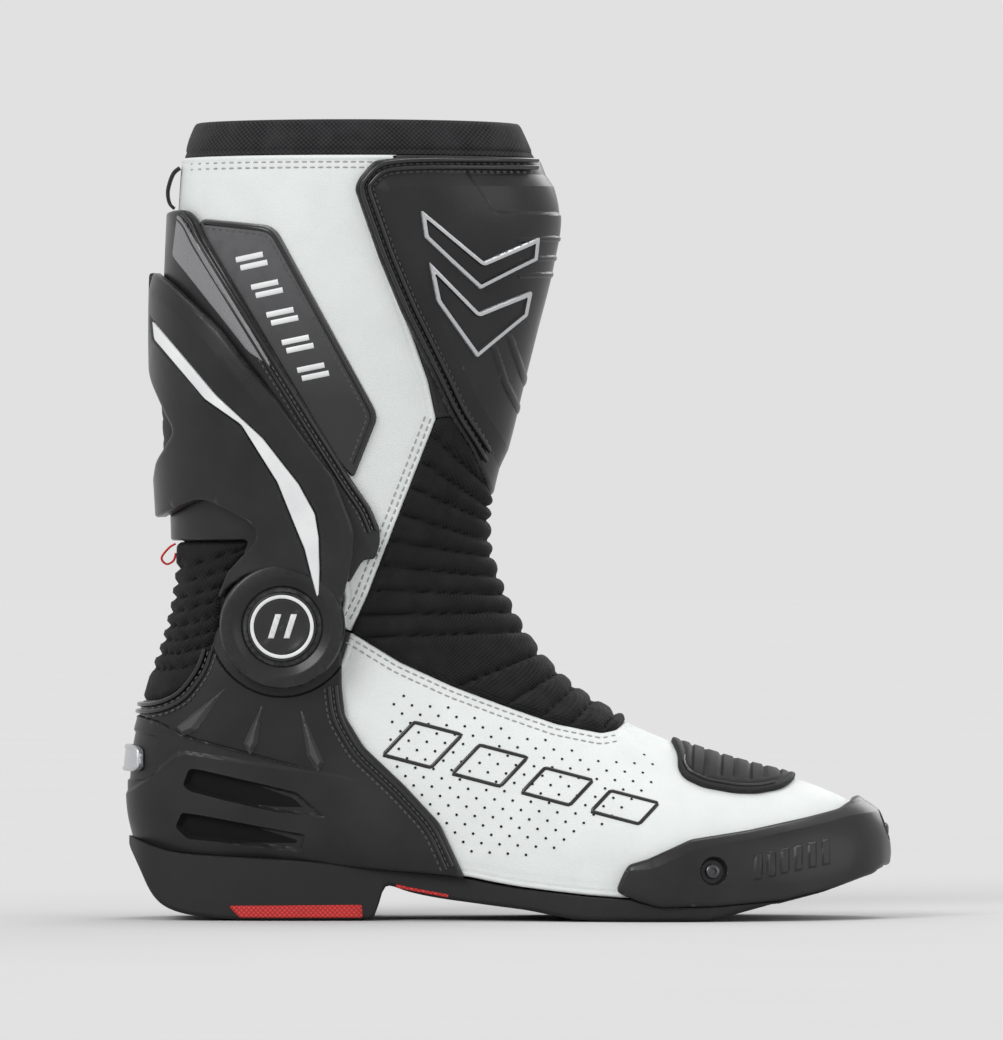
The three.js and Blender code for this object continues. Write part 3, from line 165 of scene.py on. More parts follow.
def distance(x, z, line, closed=False):
    best = np.full(x.shape, 1e9)
    pts = list(line) + ([line[0]] if closed else [])
    for (ax, az), (bx, bz) in zip(pts[:-1], pts[1:]):
        dx, dz = bx - ax, bz - az
        t = np.clip(((x - ax) * dx + (z - az) * dz) / max(dx * dx + dz * dz, 1e-12), 0, 1)
        best = np.minimum(best, (x - ax - t * dx) ** 2 + (z - az - t * dz) ** 2)
    return np.sqrt(best)


def inside_of(x, z, poly):
    odd = np.zeros(x.shape, bool)
    ax, az = poly[-1]
    for bx, bz in poly:
        if az != bz:
            odd ^= ((az > z) != (bz > z)) & (x < (bx - ax) * (z - az) / (bz - az) + ax)
        ax, az = bx, bz
    return odd


def signed(x, z, poly):
    d = distance(x, z, poly, True)
    return np.where(inside_of(x, z, poly), -d, d)


def side_of(x, z, line):
    """Signed distance to an open line: positive on its left."""
    best, sign = np.full(x.shape, 1e9), np.ones(x.shape)
    for (ax, az), (bx, bz) in zip(line[:-1], line[1:]):
        dx, dz = bx - ax, bz - az
        t = np.clip(((x - ax) * dx + (z - az) * dz) / (dx * dx + dz * dz), 0, 1)
        d = (x - ax - t * dx) ** 2 + (z - az - t * dz) ** 2
        s = np.where(dx * (z - az) - dz * (x - ax) >= 0, 1.0, -1.0)
        sign = np.where(d < best - 1e-9, s, sign)
        best = np.minimum(best, d)
    return np.sqrt(best) * sign


def step(value, width):
    t = np.clip(value / width + 0.5, 0, 1)
    return t * t * (3 - 2 * t)


def bead(d, centre, radius):
    """A half-round ridge along distance d."""
    t = np.clip(1 - ((d - centre) / radius) ** 2, 0, None)
    return np.sqrt(t) * radius


def edge_round(d, r):
    """How far a rounded edge of radius r falls, by the distance in from the outline."""
    t = np.clip(1 - d / r, 0, 1)
    return r * (1 - np.sqrt(np.clip(1 - t * t, 0, 1)))


# ------------------------------------------------------------------ cutting meshes along fields
def cut(V, T, g, keep_negative=False):
    """Splits the triangles along g = 0; keeps only where g < 0 if asked."""
    g = np.where(np.abs(g) < 0.04, 0.0, g)
    s = np.sign(g).astype(int)
    st = s[T]
    mixed = (st.min(1) < 0) & (st.max(1) > 0)
    plain, C = T[~mixed], T[mixed]
    if len(C):
        sc = s[C]
        zero = (sc == 0).any(1)
        first = np.where(zero, np.argmax(sc == 0, 1), 0)
        total = sc.sum(1)
        odd = np.argmax(sc == -np.sign(total)[:, None], 1)
        first = np.where(zero, first, odd)
        rows = np.arange(len(C))
        a, b, c = (C[rows, (first + k) % 3] for k in range(3))
        pairs = np.concatenate([
            np.stack([a, b], 1)[~zero], np.stack([a, c], 1)[~zero], np.stack([b, c], 1)[zero]])
        key = np.sort(pairs, 1)
        uniq, inv = np.unique(key, axis=0, return_inverse=True)
        inv = inv.reshape(-1)
        t = g[uniq[:, 0]] / (g[uniq[:, 0]] - g[uniq[:, 1]])
        new = V[uniq[:, 0]] * (1 - t)[:, None] + V[uniq[:, 1]] * t[:, None]
        base = len(V)
        V = np.concatenate([V, new])
        g = np.concatenate([g, np.zeros(len(new))])
        s = np.concatenate([s, np.zeros(len(new), int)])
        n1 = (~zero).sum()
        p, q, m = base + inv[:n1], base + inv[n1:2 * n1], base + inv[2 * n1:]
        a1, b1, c1 = a[~zero], b[~zero], c[~zero]
        a2, b2, c2 = a[zero], b[zero], c[zero]
        T = np.concatenate([
            plain, np.stack([a1, p, q], 1), np.stack([p, b1, c1], 1), np.stack([p, c1, q], 1),
            np.stack([a2, b2, m], 1), np.stack([a2, m, c2], 1)])
    if keep_negative:
        T = T[(s[T].sum(1) < 0)]
    return V, T


def refine(V, T):
    """Splits every triangle into four."""
    e = np.sort(np.concatenate([T[:, [0, 1]], T[:, [1, 2]], T[:, [2, 0]]]), 1)
    uniq, inv = np.unique(e, axis=0, return_inverse=True)
    a, b, c = (len(V) + inv.reshape(3, -1)).astype(int)
    V = np.concatenate([V, (V[uniq[:, 0]] + V[uniq[:, 1]]) / 2])
    p, q, r = T.T
    return V, np.concatenate([np.stack(t, 1) for t in ((p, a, c), (a, q, b), (c, b, r), (a, b, c))])


def compact(V, T):
    used, inv = np.unique(T, return_inverse=True)
    return V[used], inv.reshape(-1, 3)


def boundary(T):
    e = np.concatenate([T[:, [0, 1]], T[:, [1, 2]], T[:, [2, 0]]])
    key = np.sort(e, 1)
    _, inv, cnt = np.unique(key, axis=0, return_inverse=True, return_counts=True)
    return e[cnt[inv.reshape(-1)] == 1]


def closed_shell(top, low, T):
    """Points and faces of the solid between two sheets that share their triangles."""
    n = len(top)
    a, b = boundary(T).T
    skirt = np.concatenate([np.stack([b, a, a + n], 1), np.stack([b, a + n, b + n], 1)])
    return np.concatenate([top, low]), np.concatenate([T, T[:, ::-1] + n, skirt])


def make_mesh(name, verts, faces, material, sharp=38.0):
    mesh = bpy.data.meshes.new(name)
    mesh.from_pydata((np.asarray(verts) * MM).tolist(), [], [list(map(int, f)) for f in faces])
    mesh.validate()
    mesh.update()
    obj = bpy.data.objects.new(name, mesh)
    bpy.context.scene.collection.objects.link(obj)
    for m in material if isinstance(material, (list, tuple)) else [material]:
        mesh.materials.append(m)
    mesh.polygons.foreach_set("use_smooth", [True] * len(mesh.polygons))
    mark_sharp(mesh, sharp)
    return obj


def mark_sharp(mesh, degrees):
    """Marks the edges where two faces meet at more than this angle."""
    n = len(mesh.polygons)
    normals = np.empty(n * 3)
    mesh.polygons.foreach_get("normal", normals)
    normals = normals.reshape(-1, 3)
    starts, totals = np.empty(n, int), np.empty(n, int)
    mesh.polygons.foreach_get("loop_start", starts)
    mesh.polygons.foreach_get("loop_total", totals)
    loop_edge = np.empty(len(mesh.loops), int)
    mesh.loops.foreach_get("edge_index", loop_edge)
    face_of = np.repeat(np.arange(n), totals)
    order = np.argsort(loop_edge, kind="stable")
    e, f = loop_edge[order], face_of[order]
    same = e[1:] == e[:-1]
    dots = (normals[f[1:]] * normals[f[:-1]]).sum(1)
    sharp = np.zeros(len(mesh.edges), bool)
    sharp[e[1:][same & (dots < math.cos(math.radians(degrees)))]] = True
    att = mesh.attributes.get("sharp_edge") or mesh.attributes.new("sharp_edge", "BOOLEAN", "EDGE")
    att.data.foreach_set("value", sharp)


def settle(obj, body=None, blend=None, nodes=(), slot=None):
    """Puts a finished piece on its body, or leaves a piece across the ankle where it is with its placement
    baked in, and hides the CAD parts it stands for; slot is not used.
    """
    if blend:
        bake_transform(obj)
    else:
        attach(obj, body)
    if nodes:
        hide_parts(*nodes)
    return obj


def panel(name, field, height, floor, material, levels=(), cuts=(), sharp=38.0, paint=None, fine=0,
          **place):
    """A closed solid over the last: where field < 0, from floor up to height, both in mm off the last.
    levels are distances in from the outline to cut along, and cuts other (field, level) pairs.
    fine splits the grid that many times first; paint says which material each outer face takes."""
    near = (field(*V0.T[:3])[T0] < 0).any(1)
    V, T = compact(V0, T0[near])
    for _ in range(fine):
        V, T = refine(V, T)
    V, T = compact(*cut(V, T, field(*V.T[:3]), True))
    for level in levels:
        V, T = cut(V, T, -field(*V.T[:3]) - level)
    for other, level in cuts:
        V, T = cut(V, T, other(*V.T[:3]) - level)
    x, y, z = V.T[:3]
    d = np.maximum(-field(x, y, z), 0)
    N = unit(V[:, 3:])
    top, low = (V[:, :3] + N * (h(x, y, z, d) if callable(h) else np.full(len(V), float(h)))[:, None]
                for h in (height, floor))
    verts, faces = closed_shell(top, low, T)
    obj = make_mesh(name, verts, faces, material, sharp)
    if paint is not None:
        c = (V[T[:, 0], :3] + V[T[:, 1], :3] + V[T[:, 2], :3]) / 3
        index = np.zeros(len(faces), int)
        index[:len(T)] = paint(c[:, 0], c[:, 1], c[:, 2])
        obj.data.polygons.foreach_set("material_index", index)
        obj.data.update()
    return settle(obj, **place)


# ------------------------------------------------------------------ small swept and repeated pieces
def resample(line, gap):
    p = np.array(line, float)
    run = np.concatenate([[0], np.cumsum(np.linalg.norm(np.diff(p, axis=0), axis=1))])
    n = max(2, int(round(run[-1] / gap)) + 1)
    at = np.linspace(0, run[-1], n)
    return np.stack([np.interp(at, run, p[:, k]) for k in range(p.shape[1])], 1)


def lay(line, side, lift, gap=2.0):
    """A side-view line laid on the last: points and normals."""
    got = [on_last(x, z, side, 0) for x, z in resample(line, gap)]
    P, N = np.array([g[0] for g in got]), np.array([g[1] for g in got])
    for _ in range(2):
        N[1:-1] = (N[:-2] + 2 * N[1:-1] + N[2:]) / 4
        N = unit(N)
    return P + N * lift, N


def tube_faces(rows, count, closed=False):
    """Quads between rows of points, each row a ring of count; closed joins the last row to the first."""
    faces = []
    for i in range(rows if closed else rows - 1):
        here, there = i * count, (i + 1) % rows * count
        for k in range(count):
            right = (k + 1) % count
            faces.append((here + k, here + right, there + right, there + k))
    return faces


def sweep(P, N, profile):
    """Sweeps a closed profile [(across, up)] along points P with normals N."""
    n, m = len(P), len(profile)
    tangent = unit(np.gradient(P, axis=0))
    across = unit(np.cross(tangent, N))
    up = np.cross(across, tangent)
    prof = np.array(profile)
    verts = P[:, None] + across[:, None] * prof[None, :, :1] + up[:, None] * prof[None, :, 1:]
    ends = [tuple(range(m))[::-1], tuple((n - 1) * m + k for k in range(m))]
    return verts.reshape(-1, 3), tube_faces(n, m) + ends


def circle(r, n=10, flat=1.0):
    turns = [2 * math.pi * k / n for k in range(n)]
    return [(r * math.cos(a), r * flat * math.sin(a)) for a in turns]


def merge(parts):
    """Several (points, faces) pairs as one."""
    verts, faces, base = [], [], 0
    for v, f in parts:
        verts.append(np.asarray(v))
        faces += [tuple(i + base for i in face) for face in f]
        base += len(v)
    return np.concatenate(verts), faces


def piping(name, lines, radius, lift, material, gap=2.0, flat=1.0, **place):
    """Round cord laid on the last; lines are (side-view points, side)."""
    parts = [sweep(*lay(line, side, lift, gap), circle(radius, 10, flat)) for line, side in lines]
    return settle(make_mesh(name, *merge(parts), material), **place)


def stitch(length, r):
    """One stitch along X: a thin six-sided spindle."""
    verts = []
    rows = [(-1, 0.0), (-0.8, 0.75), (0, 1.0), (0.8, 0.75), (1, 0.0)]
    for x, w in rows:
        for k in range(6):
            a = math.pi * k / 3
            verts.append((x * length / 2, w * r * math.cos(a), w * r * 0.8 * math.sin(a)))
    return np.array(verts), tube_faces(len(rows), 6)


def stitches(name, lines, material, pitch=3.2, length=2.3, r=0.36, **place):
    """Rows of single stitches; lines are (side-view points, side, lift)."""
    sv, sf = stitch(length, r)
    parts = []
    for line, side, lift in lines:
        P, N = lay(line, side, lift, pitch)
        mid = (P[1:] + P[:-1]) / 2
        t = unit(P[1:] - P[:-1])
        n = (N[1:] + N[:-1]) / 2
        a = np.cross(n, t)
        for k in range(len(mid)):
            parts.append((mid[k] + sv[:, :1] * t[k] + sv[:, 1:2] * a[k] + sv[:, 2:] * n[k], sf))
    return settle(make_mesh(name, *merge(parts), material), **place)


def offset(line, by):
    """An open line moved sideways: positive to its left."""
    p = np.array(line, float)
    t = unit(np.gradient(p, axis=0))
    return p + np.stack([-t[:, 1], t[:, 0]], 1) * by


def lathe(profile, count):
    """(radius, out) pairs turned about the Y axis through the ankle, for the outer side."""
    verts = []
    for k in range(count):
        a = 2 * math.pi * k / count
        for r, y in profile:
            verts.append((PIVOT[0] + r * math.cos(a), -y, PIVOT[1] + r * math.sin(a)))
    faces = [(a, d, c, b) for a, b, c, d in tube_faces(count, len(profile), True)]
    return np.array(verts), faces


# ------------------------------------------------------------------ materials
class Shader:
    """A small wrapper that adds and links shader nodes."""

    def __init__(self, name):
        self.mat = bpy.data.materials.new(name)
        self.mat.use_nodes = True
        self.tree = self.mat.node_tree
        self.bsdf = self.tree.nodes["Principled BSDF"]
        self.where = self.tree.nodes.new("ShaderNodeTexCoord").outputs["Object"]
        self.height = None

    def node(self, kind, inputs=(), **settings):
        made = self.tree.nodes.new("ShaderNode" + kind)
        for key, value in settings.items():
            setattr(made, key, value)
        for key, value in dict(inputs).items():
            self.put(made.inputs[key], value)
        return made

    def put(self, socket, value):
        if isinstance(value, bpy.types.NodeSocket):
            self.tree.links.new(value, socket)
        else:
            socket.default_value = value

    def math(self, operation, a, b=0.0, c=0.0):
        return self.node("Math", {0: a, 1: b, 2: c}, operation=operation).outputs[0]

    def noise(self, size, detail=3.0, vector=None):
        inputs = {"Vector": vector or self.where, "Scale": 1 / (size * MM), "Detail": detail}
        return self.node("TexNoise", inputs).outputs[0]

    def cells(self, size):
        """Distance to the edge of the nearest cell, cells of about that size in mm."""
        inputs = {"Vector": self.where, "Scale": 1 / (size * MM)}
        return self.node("TexVoronoi", inputs, feature="DISTANCE_TO_EDGE").outputs["Distance"]

    def spread(self, value, low, high, out_low=0.0, out_high=1.0):
        """Maps low..high to out_low..out_high, and stops there."""
        return self.node("MapRange", {0: value, 1: low, 2: high, 3: out_low, 4: out_high}).outputs[0]

    def tint(self, socket, color):
        self.put(socket, color if isinstance(color, bpy.types.NodeSocket) else (*color, 1))

    def mix(self, factor, a, b):
        got = self.node("Mix", data_type="RGBA")
        self.put(got.inputs[0], factor)
        self.tint(got.inputs[6], a)
        self.tint(got.inputs[7], b)
        return got.outputs[2]

    def raise_by(self, value, size, strength=0.6):
        """Adds a layer of surface relief of that size in mm."""
        inputs = {"Height": value, "Distance": size * MM, "Strength": strength}
        if self.height is not None:
            inputs["Normal"] = self.height
        self.height = self.node("Bump", inputs).outputs[0]

    def wear(self, low=0.53, high=0.6):
        """One on sharp outer edges, zero elsewhere."""
        return self.spread(self.node("NewGeometry").outputs["Pointiness"], low, high)

    def finish(self, color, rough, **fixed):
        self.tint(self.bsdf.inputs["Base Color"], color)
        self.put(self.bsdf.inputs["Roughness"], rough)
        if self.height is not None:
            self.put(self.bsdf.inputs["Normal"], self.height)
        for key, value in fixed.items():
            self.bsdf.inputs[key.replace("_", " ")].default_value = value
        return self.mat


def leather(name, base, shade, worn, grain=0.9, rough=(0.42, 0.6), depth=0.1):
    s = Shader(name)
    creases = s.spread(s.cells(grain), 0.0, 0.22)
    blotch = s.noise(14, 4)
    color = s.mix(s.spread(blotch, 0.35, 0.7), base, shade)
    color = s.mix(s.spread(creases, 0.5, 0.0, 0.0, 0.35), color, shade)
    color = s.mix(s.math("MULTIPLY", s.wear(), s.spread(s.noise(3), 0.4, 0.65)), color, worn)
    s.raise_by(creases, depth, 0.5)
    s.raise_by(s.noise(0.35, 2), depth * 0.5, 0.35)
    s.raise_by(s.noise(18, 2), 0.8, 0.25)
    return s.finish(color, s.spread(blotch, 0.3, 0.7, *rough), Specular_IOR_Level=0.3)


def moulded(name, base, shade, worn, rough=(0.36, 0.52), grain=0.45, coat=0.0, relief=0.06):
    s = Shader(name)
    fine = s.noise(grain, 3)
    cloud = s.noise(22, 4)
    color = s.mix(s.spread(cloud, 0.35, 0.7), base, shade)
    color = s.mix(s.math("MULTIPLY", s.wear(0.52, 0.62), s.spread(s.noise(2.2), 0.35, 0.7)), color, worn)
    s.raise_by(fine, relief, 0.6)
    s.raise_by(s.noise(9, 2), 0.5, 0.2)
    return s.finish(color, s.spread(cloud, 0.3, 0.7, *rough), Coat_Weight=coat, Coat_Roughness=0.18,
                    Specular_IOR_Level=0.26)


LEG_MIDDLE, LEG_RADIUS = 28, 48


def woven(name, base, light, pitch=0.9, rough=0.85, depth=0.25, sheen=0.12):
    """Threads that cross, counted round the leg and up it."""
    s = Shader(name)
    x, y, z = s.node("SeparateXYZ", {0: s.where}).outputs
    k = math.pi / (pitch * MM)
    turn = s.math("ARCTAN2", y, s.math("SUBTRACT", x, LEG_MIDDLE * MM))
    u = s.math("SINE", s.math("MULTIPLY", turn, k * LEG_RADIUS * MM))
    v = s.math("SINE", s.math("MULTIPLY", z, k))
    knot = s.math("MULTIPLY", u, v)
    lift = s.spread(knot, -1, 1)
    color = s.mix(s.spread(lift, 0.35, 1.0), base, light)
    color = s.mix(s.spread(s.noise(9, 4), 0.4, 0.75, 0.0, 0.5), color, light)
    s.raise_by(lift, depth, 0.7)
    s.raise_by(s.noise(0.4), 0.08, 0.5)
    dull = s.spread(s.noise(6), 0.3, 0.7, rough - 0.08, min(1, rough + 0.08))
    return s.finish(color, dull, Sheen_Weight=sheen, Sheen_Roughness=0.5, Specular_IOR_Level=0.2)


def diamond_rubber(name, base, shade):
    """Rubber with a moulded diamond grid."""
    s = Shader(name)
    x, y, z = s.node("SeparateXYZ", {0: s.where}).outputs
    k = math.pi / (1.9 * MM)
    u = s.math("ABSOLUTE", s.math("SINE", s.math("MULTIPLY", s.math("ADD", x, z), k)))
    v = s.math("ABSOLUTE", s.math("SINE", s.math("MULTIPLY", s.math("SUBTRACT", x, z), k)))
    lift = s.spread(s.math("MINIMUM", u, v), 0.0, 0.45)
    color = s.mix(lift, shade, base)
    color = s.mix(s.spread(s.noise(4), 0.45, 0.8, 0.0, 0.4), color, shade)
    s.raise_by(lift, 0.35, 0.8)
    return s.finish(color, s.spread(s.noise(3), 0.3, 0.7, 0.5, 0.65))


def metal(name, base, rough=(0.25, 0.4), stretch=(0.3, 6, 0.3), metallic=1.0):
    s = Shader(name)
    squeeze = tuple(1 / k for k in stretch)
    brushed = s.node("VectorMath", {0: s.where, 1: squeeze}, operation="MULTIPLY").outputs[0]
    lines = s.noise(1.0, 4, brushed)
    cloud = s.noise(8, 3)
    shade = tuple(c * 0.72 for c in base)
    s.raise_by(lines, 0.03, 0.4)
    color = s.mix(s.spread(lines, 0.3, 0.75), shade, base)
    return s.finish(color, s.spread(cloud, 0.3, 0.7, *rough), Metallic=metallic)


def gloss_with_painted_highlight(name, low, high, z0, z1):
    """Gloss black with a painted highlight: it lightens towards the top, where the patch's gloss catches the
    light.
    """
    s = Shader(name)
    z = s.node("SeparateXYZ", {0: s.where}).outputs[2]
    up = s.spread(z, z0 * MM, z1 * MM)
    color = s.mix(up, low, high)
    color = s.mix(s.spread(s.noise(5), 0.45, 0.8, 0.0, 0.3), color, low)
    s.raise_by(s.noise(7, 2), 0.4, 0.2)
    s.raise_by(s.noise(0.3), 0.02, 0.4)
    rough = s.spread(s.noise(10), 0.3, 0.7, 0.2, 0.32)
    return s.finish(color, rough, Coat_Weight=0.4, Coat_Roughness=0.12)


def thread(name, base, shade):
    s = Shader(name)
    x, y, z = s.node("SeparateXYZ", {0: s.where}).outputs
    along = s.math("ADD", s.math("ADD", x, y), z)
    twist = s.math("SINE", s.math("MULTIPLY", along, math.pi / (0.28 * MM)))
    lift = s.spread(twist, -1, 1)
    color = s.mix(lift, shade, base)
    s.raise_by(lift, 0.1, 0.6)
    return s.finish(color, s.spread(s.noise(2), 0.3, 0.7, 0.55, 0.7), Sheen_Weight=0.2)


# the base, the shade it drifts to, and the worn colour; then roughness, grain, coat and relief
WHITE = leather("white_leather", (0.69, 0.718, 0.705), (0.655, 0.682, 0.67), (0.5, 0.5, 0.48))
BLACK = leather("black_leather", (0.014, 0.014, 0.015), (0.024, 0.024, 0.025), (0.07, 0.07, 0.07),
                rough=(0.5, 0.66))
PLASTIC = moulded("black_plastic", (0.01, 0.01, 0.011), (0.015, 0.015, 0.016), (0.06, 0.06, 0.06),
                  coat=0.12)
SATIN = moulded("satin_plastic", (0.01, 0.01, 0.011), (0.016, 0.016, 0.017), (0.07, 0.07, 0.07),
                (0.28, 0.42), 0.7, 0.15, 0.09)
BLADE = moulded("blade_plastic", (0.045, 0.045, 0.047), (0.06, 0.06, 0.062), (0.14, 0.14, 0.14),
                (0.25, 0.36), 0.5, 0.3, 0.04)
# near-black painted shade for the floors of the heel counter's slots
PAINTED_SLOT_SHADE = moulded("slot_painted_shade", (0.002, 0.002, 0.002), (0.003, 0.003, 0.003), (0.008, 0.008, 0.008),
                 (0.85, 0.95))
GLOSS = moulded("gloss_black", (0.008, 0.008, 0.009), (0.014, 0.014, 0.014), (0.05, 0.05, 0.05),
                (0.2, 0.3), 0.6, 0.5, 0.03)
RUBBER = moulded("black_rubber", (0.014, 0.014, 0.0145), (0.0165, 0.0165, 0.0165),
                 (0.0165, 0.0165, 0.0165), (0.6, 0.66), 0.5, 0.0, 0.1)
CHALK = moulded("white_plastic", (0.74, 0.75, 0.75), (0.62, 0.63, 0.64), (0.5, 0.5, 0.5), (0.3, 0.42),
                coat=0.2)
FIBRE = moulded("fibreboard", (0.2, 0.13, 0.08), (0.15, 0.1, 0.06), (0.3, 0.22, 0.15), (0.75, 0.9), 1.0,
                0.0, 0.2)
RED = diamond_rubber("red_rubber", (0.62, 0.03, 0.028), (0.3, 0.012, 0.012))
STRETCH = woven("stretch_fabric", (0.003, 0.003, 0.0035), (0.016, 0.016, 0.017), 0.65, sheen=0.04)
KNIT = woven("collar_knit", (0.008, 0.008, 0.009), (0.035, 0.035, 0.037), 0.9, sheen=0.06)
LINING = woven("lining_fabric", (0.012, 0.012, 0.013), (0.05, 0.05, 0.052), 1.6, depth=0.4)
FOAM = woven("footbed_foam", (0.015, 0.015, 0.017), (0.05, 0.05, 0.055), 2.2, depth=0.3)
RIBBON = woven("red_ribbon", (0.45, 0.012, 0.008), (0.68, 0.03, 0.02), 0.5, depth=0.12)
TAPE = woven("zip_tape", (0.008, 0.008, 0.009), (0.03, 0.03, 0.03), 0.6)
# a lighter grey, used only for the calf plate's painted highlight
PAINTED_HIGHLIGHT_GREY = metal("painted_highlight_grey", (0.3, 0.3, 0.31), (0.3, 0.4), (0.5, 0.5, 0.5), 0.6)
SILVER = metal("silver", (0.62, 0.63, 0.65), (0.26, 0.38), (0.4, 0.4, 0.4), 0.75)
STEEL = metal("steel", (0.42, 0.43, 0.45))
DARK_STEEL = metal("dark_steel", (0.1, 0.1, 0.105))
WHITE_THREAD = thread("white_thread", (0.42, 0.43, 0.44), (0.2, 0.2, 0.21))
BLACK_THREAD = thread("black_thread", (0.03, 0.03, 0.032), (0.01, 0.01, 0.01))
GREY_THREAD = thread("grey_thread", (0.09, 0.09, 0.095), (0.03, 0.03, 0.032))
# the side patch's gloss black carries a painted highlight, lighter from z 205 mm up to 280 mm
PATCH = gloss_with_painted_highlight("patch_gloss_painted_highlight", (0.007, 0.007, 0.008), (0.09, 0.09, 0.095), 205, 280)

# ------------------------------------------------------------------ outlines, all in the side view
EYE_R = 24.6        # the brace's eye round the ankle, and the opening the stretch leaves for it


def arc(radius, start, end, steps):
    """Part of a circle round the ankle pivot, between two angles in degrees."""
    angles = [math.radians(a) for a in np.linspace(start, end, steps + 1)]
    return [(PIVOT[0] + radius * math.cos(a), PIVOT[1] + radius * math.sin(a)) for a in angles]


def spline(points, per):
    p = np.array(points, float)
    out = [tuple(catmull(p, i, t)) for i in range(len(p) - 1) for t in np.linspace(0, 1, per, endpoint=False)]
    return out + [tuple(p[-1])]


SOLE_TOP = spline([(-70, 37), (-61.6, 33), (-46, 27.3), (-27.2, 25.4), (5.9, 23.6), (34.2, 20.7),
                   (67.2, 17.8), (94.4, 12.8), (134.4, 8.6), (166.4, 9.6), (206.4, 16), (232, 25),
                   (250, 35)], 3)
COUNTER_RIM = [(-80, 84), (-54.5, 86.3), (-46, 87.2), (-37.5, 91.5), (-29, 100.9), (-26.2, 113.4),
               (-25.2, 118.4)]
COUNTER_FRONT = [(23.4, 106), (23.4, 93.4), (24.8, 81.1), (32.3, 68.8), (48.4, 53.7), (62.5, 38.6), (74, 14)]
VAMP_EDGE = [(27.2, 114.4), (46.8, 102.4), (68.1, 92.7), (90.2, 84.5), (108.9, 78), (126.9, 74.3),
             (132.6, 75.5), (137.9, 80), (146, 90)]
VAMP_REAR = [(27.2, 114.4), (24, 104), (18.5, 92), (20, 80), (27, 66), (43, 51), (57, 36), (67, 12)]
STRIP_FRONT = [(27.2, 114.4), (33.2, 127), (46, 159.8), (61.2, 198.8)]
SHIN_EDGE = [(61.2, 198.8), (66.4, 199.6), (74.6, 186.6), (83.2, 166.2), (87.7, 171), (104, 176)]
SHIN_REAR = [(61.2, 198.8), (58, 214), (48, 243), (37, 272), (36, 286), (42, 296), (50, 312)]
SHIN_REAR_INNER = [(61.2, 198.8), (66, 214), (64, 243), (62, 272), (62, 312)]
HUB_TOP = arc(30, 38, 120, 8)
REAR_FLEX_FRONT = [(-25.2, 118.4), (-24.6, 128), (-18.1, 140.5), (-12, 150.5)]
CALF_FOOT = [(-12, 150.5), (-40, 150), (-80, 149)]
CALF_TOP = [(-34, 268), (-38, 276), (-80, 276)]
CALF_EDGE = [(23.6, 135), (29, 146), (32, 155), (28.5, 163), (22, 173), (7.6, 196.8), *CALF_TOP]
CALF_EDGE_INNER = [(23.6, 135), (12, 150), (5, 172), (2, 196), (-12, 228), *CALF_TOP]
COLLAR_FOOT, TOP = 303.4, 318
SOLE_X, SOLE_Z = np.array(SOLE_TOP).T


def back(line):
    return list(line)[::-1]


def poly(points, r=1.5):
    return [tuple(q) for q in rounded(points, r)]


def within(outline, r=1.5):
    shape = poly(outline, r)
    return lambda x, y, z: signed(x, z, shape)


def sides(lateral, medial, r=1.5):
    """One outline on the outer side, another on the inner."""
    a, b = poly(lateral, r), poly(medial, r)
    return lambda x, y, z: np.where(y < 0, signed(x, z, a), signed(x, z, b))


def both(*fields):
    """Where every field is below zero."""
    return lambda x, y, z: np.maximum.reduce([f(x, y, z) for f in fields])


def outer_side(x, y, z):
    return y


def inner_side(x, y, z):
    return -y


def above_sole(x, y, z):
    return np.interp(x, SOLE_X, SOLE_Z) + 0.4 - z


def off_hub(radius):
    return lambda x, y, z: radius - np.hypot(x - PIVOT[0], z - PIVOT[1])


def within_hub(radius):
    return lambda x, y, z: np.hypot(x - PIVOT[0], z - PIVOT[1]) - radius


def left_of(line):
    return lambda x, y, z: side_of(x, z, line)


def away_from(line):
    return lambda x, y, z: distance(x, z, line)


def cuts_at(fields, *levels):
    """The cuts that let a step or a groove show: each field at each level."""
    return [(field, level) for field in fields for level in levels]


# The soft parts round the ankle all share this one setting, from the foot to the shaft; only its presence is
# read: such a piece keeps its place with its placement baked in, and nothing bends.
BEND = dict(start=(0.0046, 0, 0.1033), end=(-0.0079, 0, 0.1392))


def leather_height(stitch_rows=(2.4,), hem=0.9, lift=0.0):
    """Leather with a turned edge and a shallow dip along each row of stitches."""
    def height(x, y, z, d):
        h = lift - edge_round(d, hem) * 0.9
        for row in stitch_rows:
            h = h - 0.22 * np.exp(-((d - row) / 0.55) ** 2)
        return h + 0.18 * np.exp(-((d - 1.3) / 0.8) ** 2)
    return height


EDGE_LEVELS = (0.35, 0.9, 1.6, 2.4, 3.2)

# ------------------------------------------------------------------ sole
PLAN = spline([(-62, 0), (-56, -22), (-40, -33), (0, -38), (40, -37), (80, -41), (108, -48), (130, -52.5),
               (150, -53.5), (172, -51.5), (196, -45), (218, -33), (234, -14), (240, 4), (236, 20),
               (224, 34), (202, 45), (175, 50), (150, 50.5), (126, 48), (104, 43.5), (80, 38), (40, 34),
               (0, 36), (-40, 32), (-56, 21), (-62, 0)], 9)[:-1]
TREAD = [(240, 23), (230, 17.6), (218, 13.2), (206, 9.6), (194, 6.4), (182, 3.2), (172, 0.5), (168, 0),
         (120, 0), (110, 1.4), (98, 4), (86, 5.4), (74, 7), (62, 8.6), (50, 11), (42.4, 14), (40, 12.6),
         (38.4, 6.8), (36.8, 1.6), (35, 0), (-21.6, 0), (-38.4, 1.8), (-47.6, 5), (-53, 10.6),
         (-57.6, 20.6), (-64, 31.4)]
TREAD_X, TREAD_Z = np.array(rounded(TREAD, 9, False)[::-1]).T
SLIDER_FOOT = np.array([(130, 40), (133, 10.5), (140.8, 7.8), (149.4, 5.8), (171, 5.8), (197, 7.5),
                        (214.5, 11.8), (231.8, 17.6), (244, 23)]).T
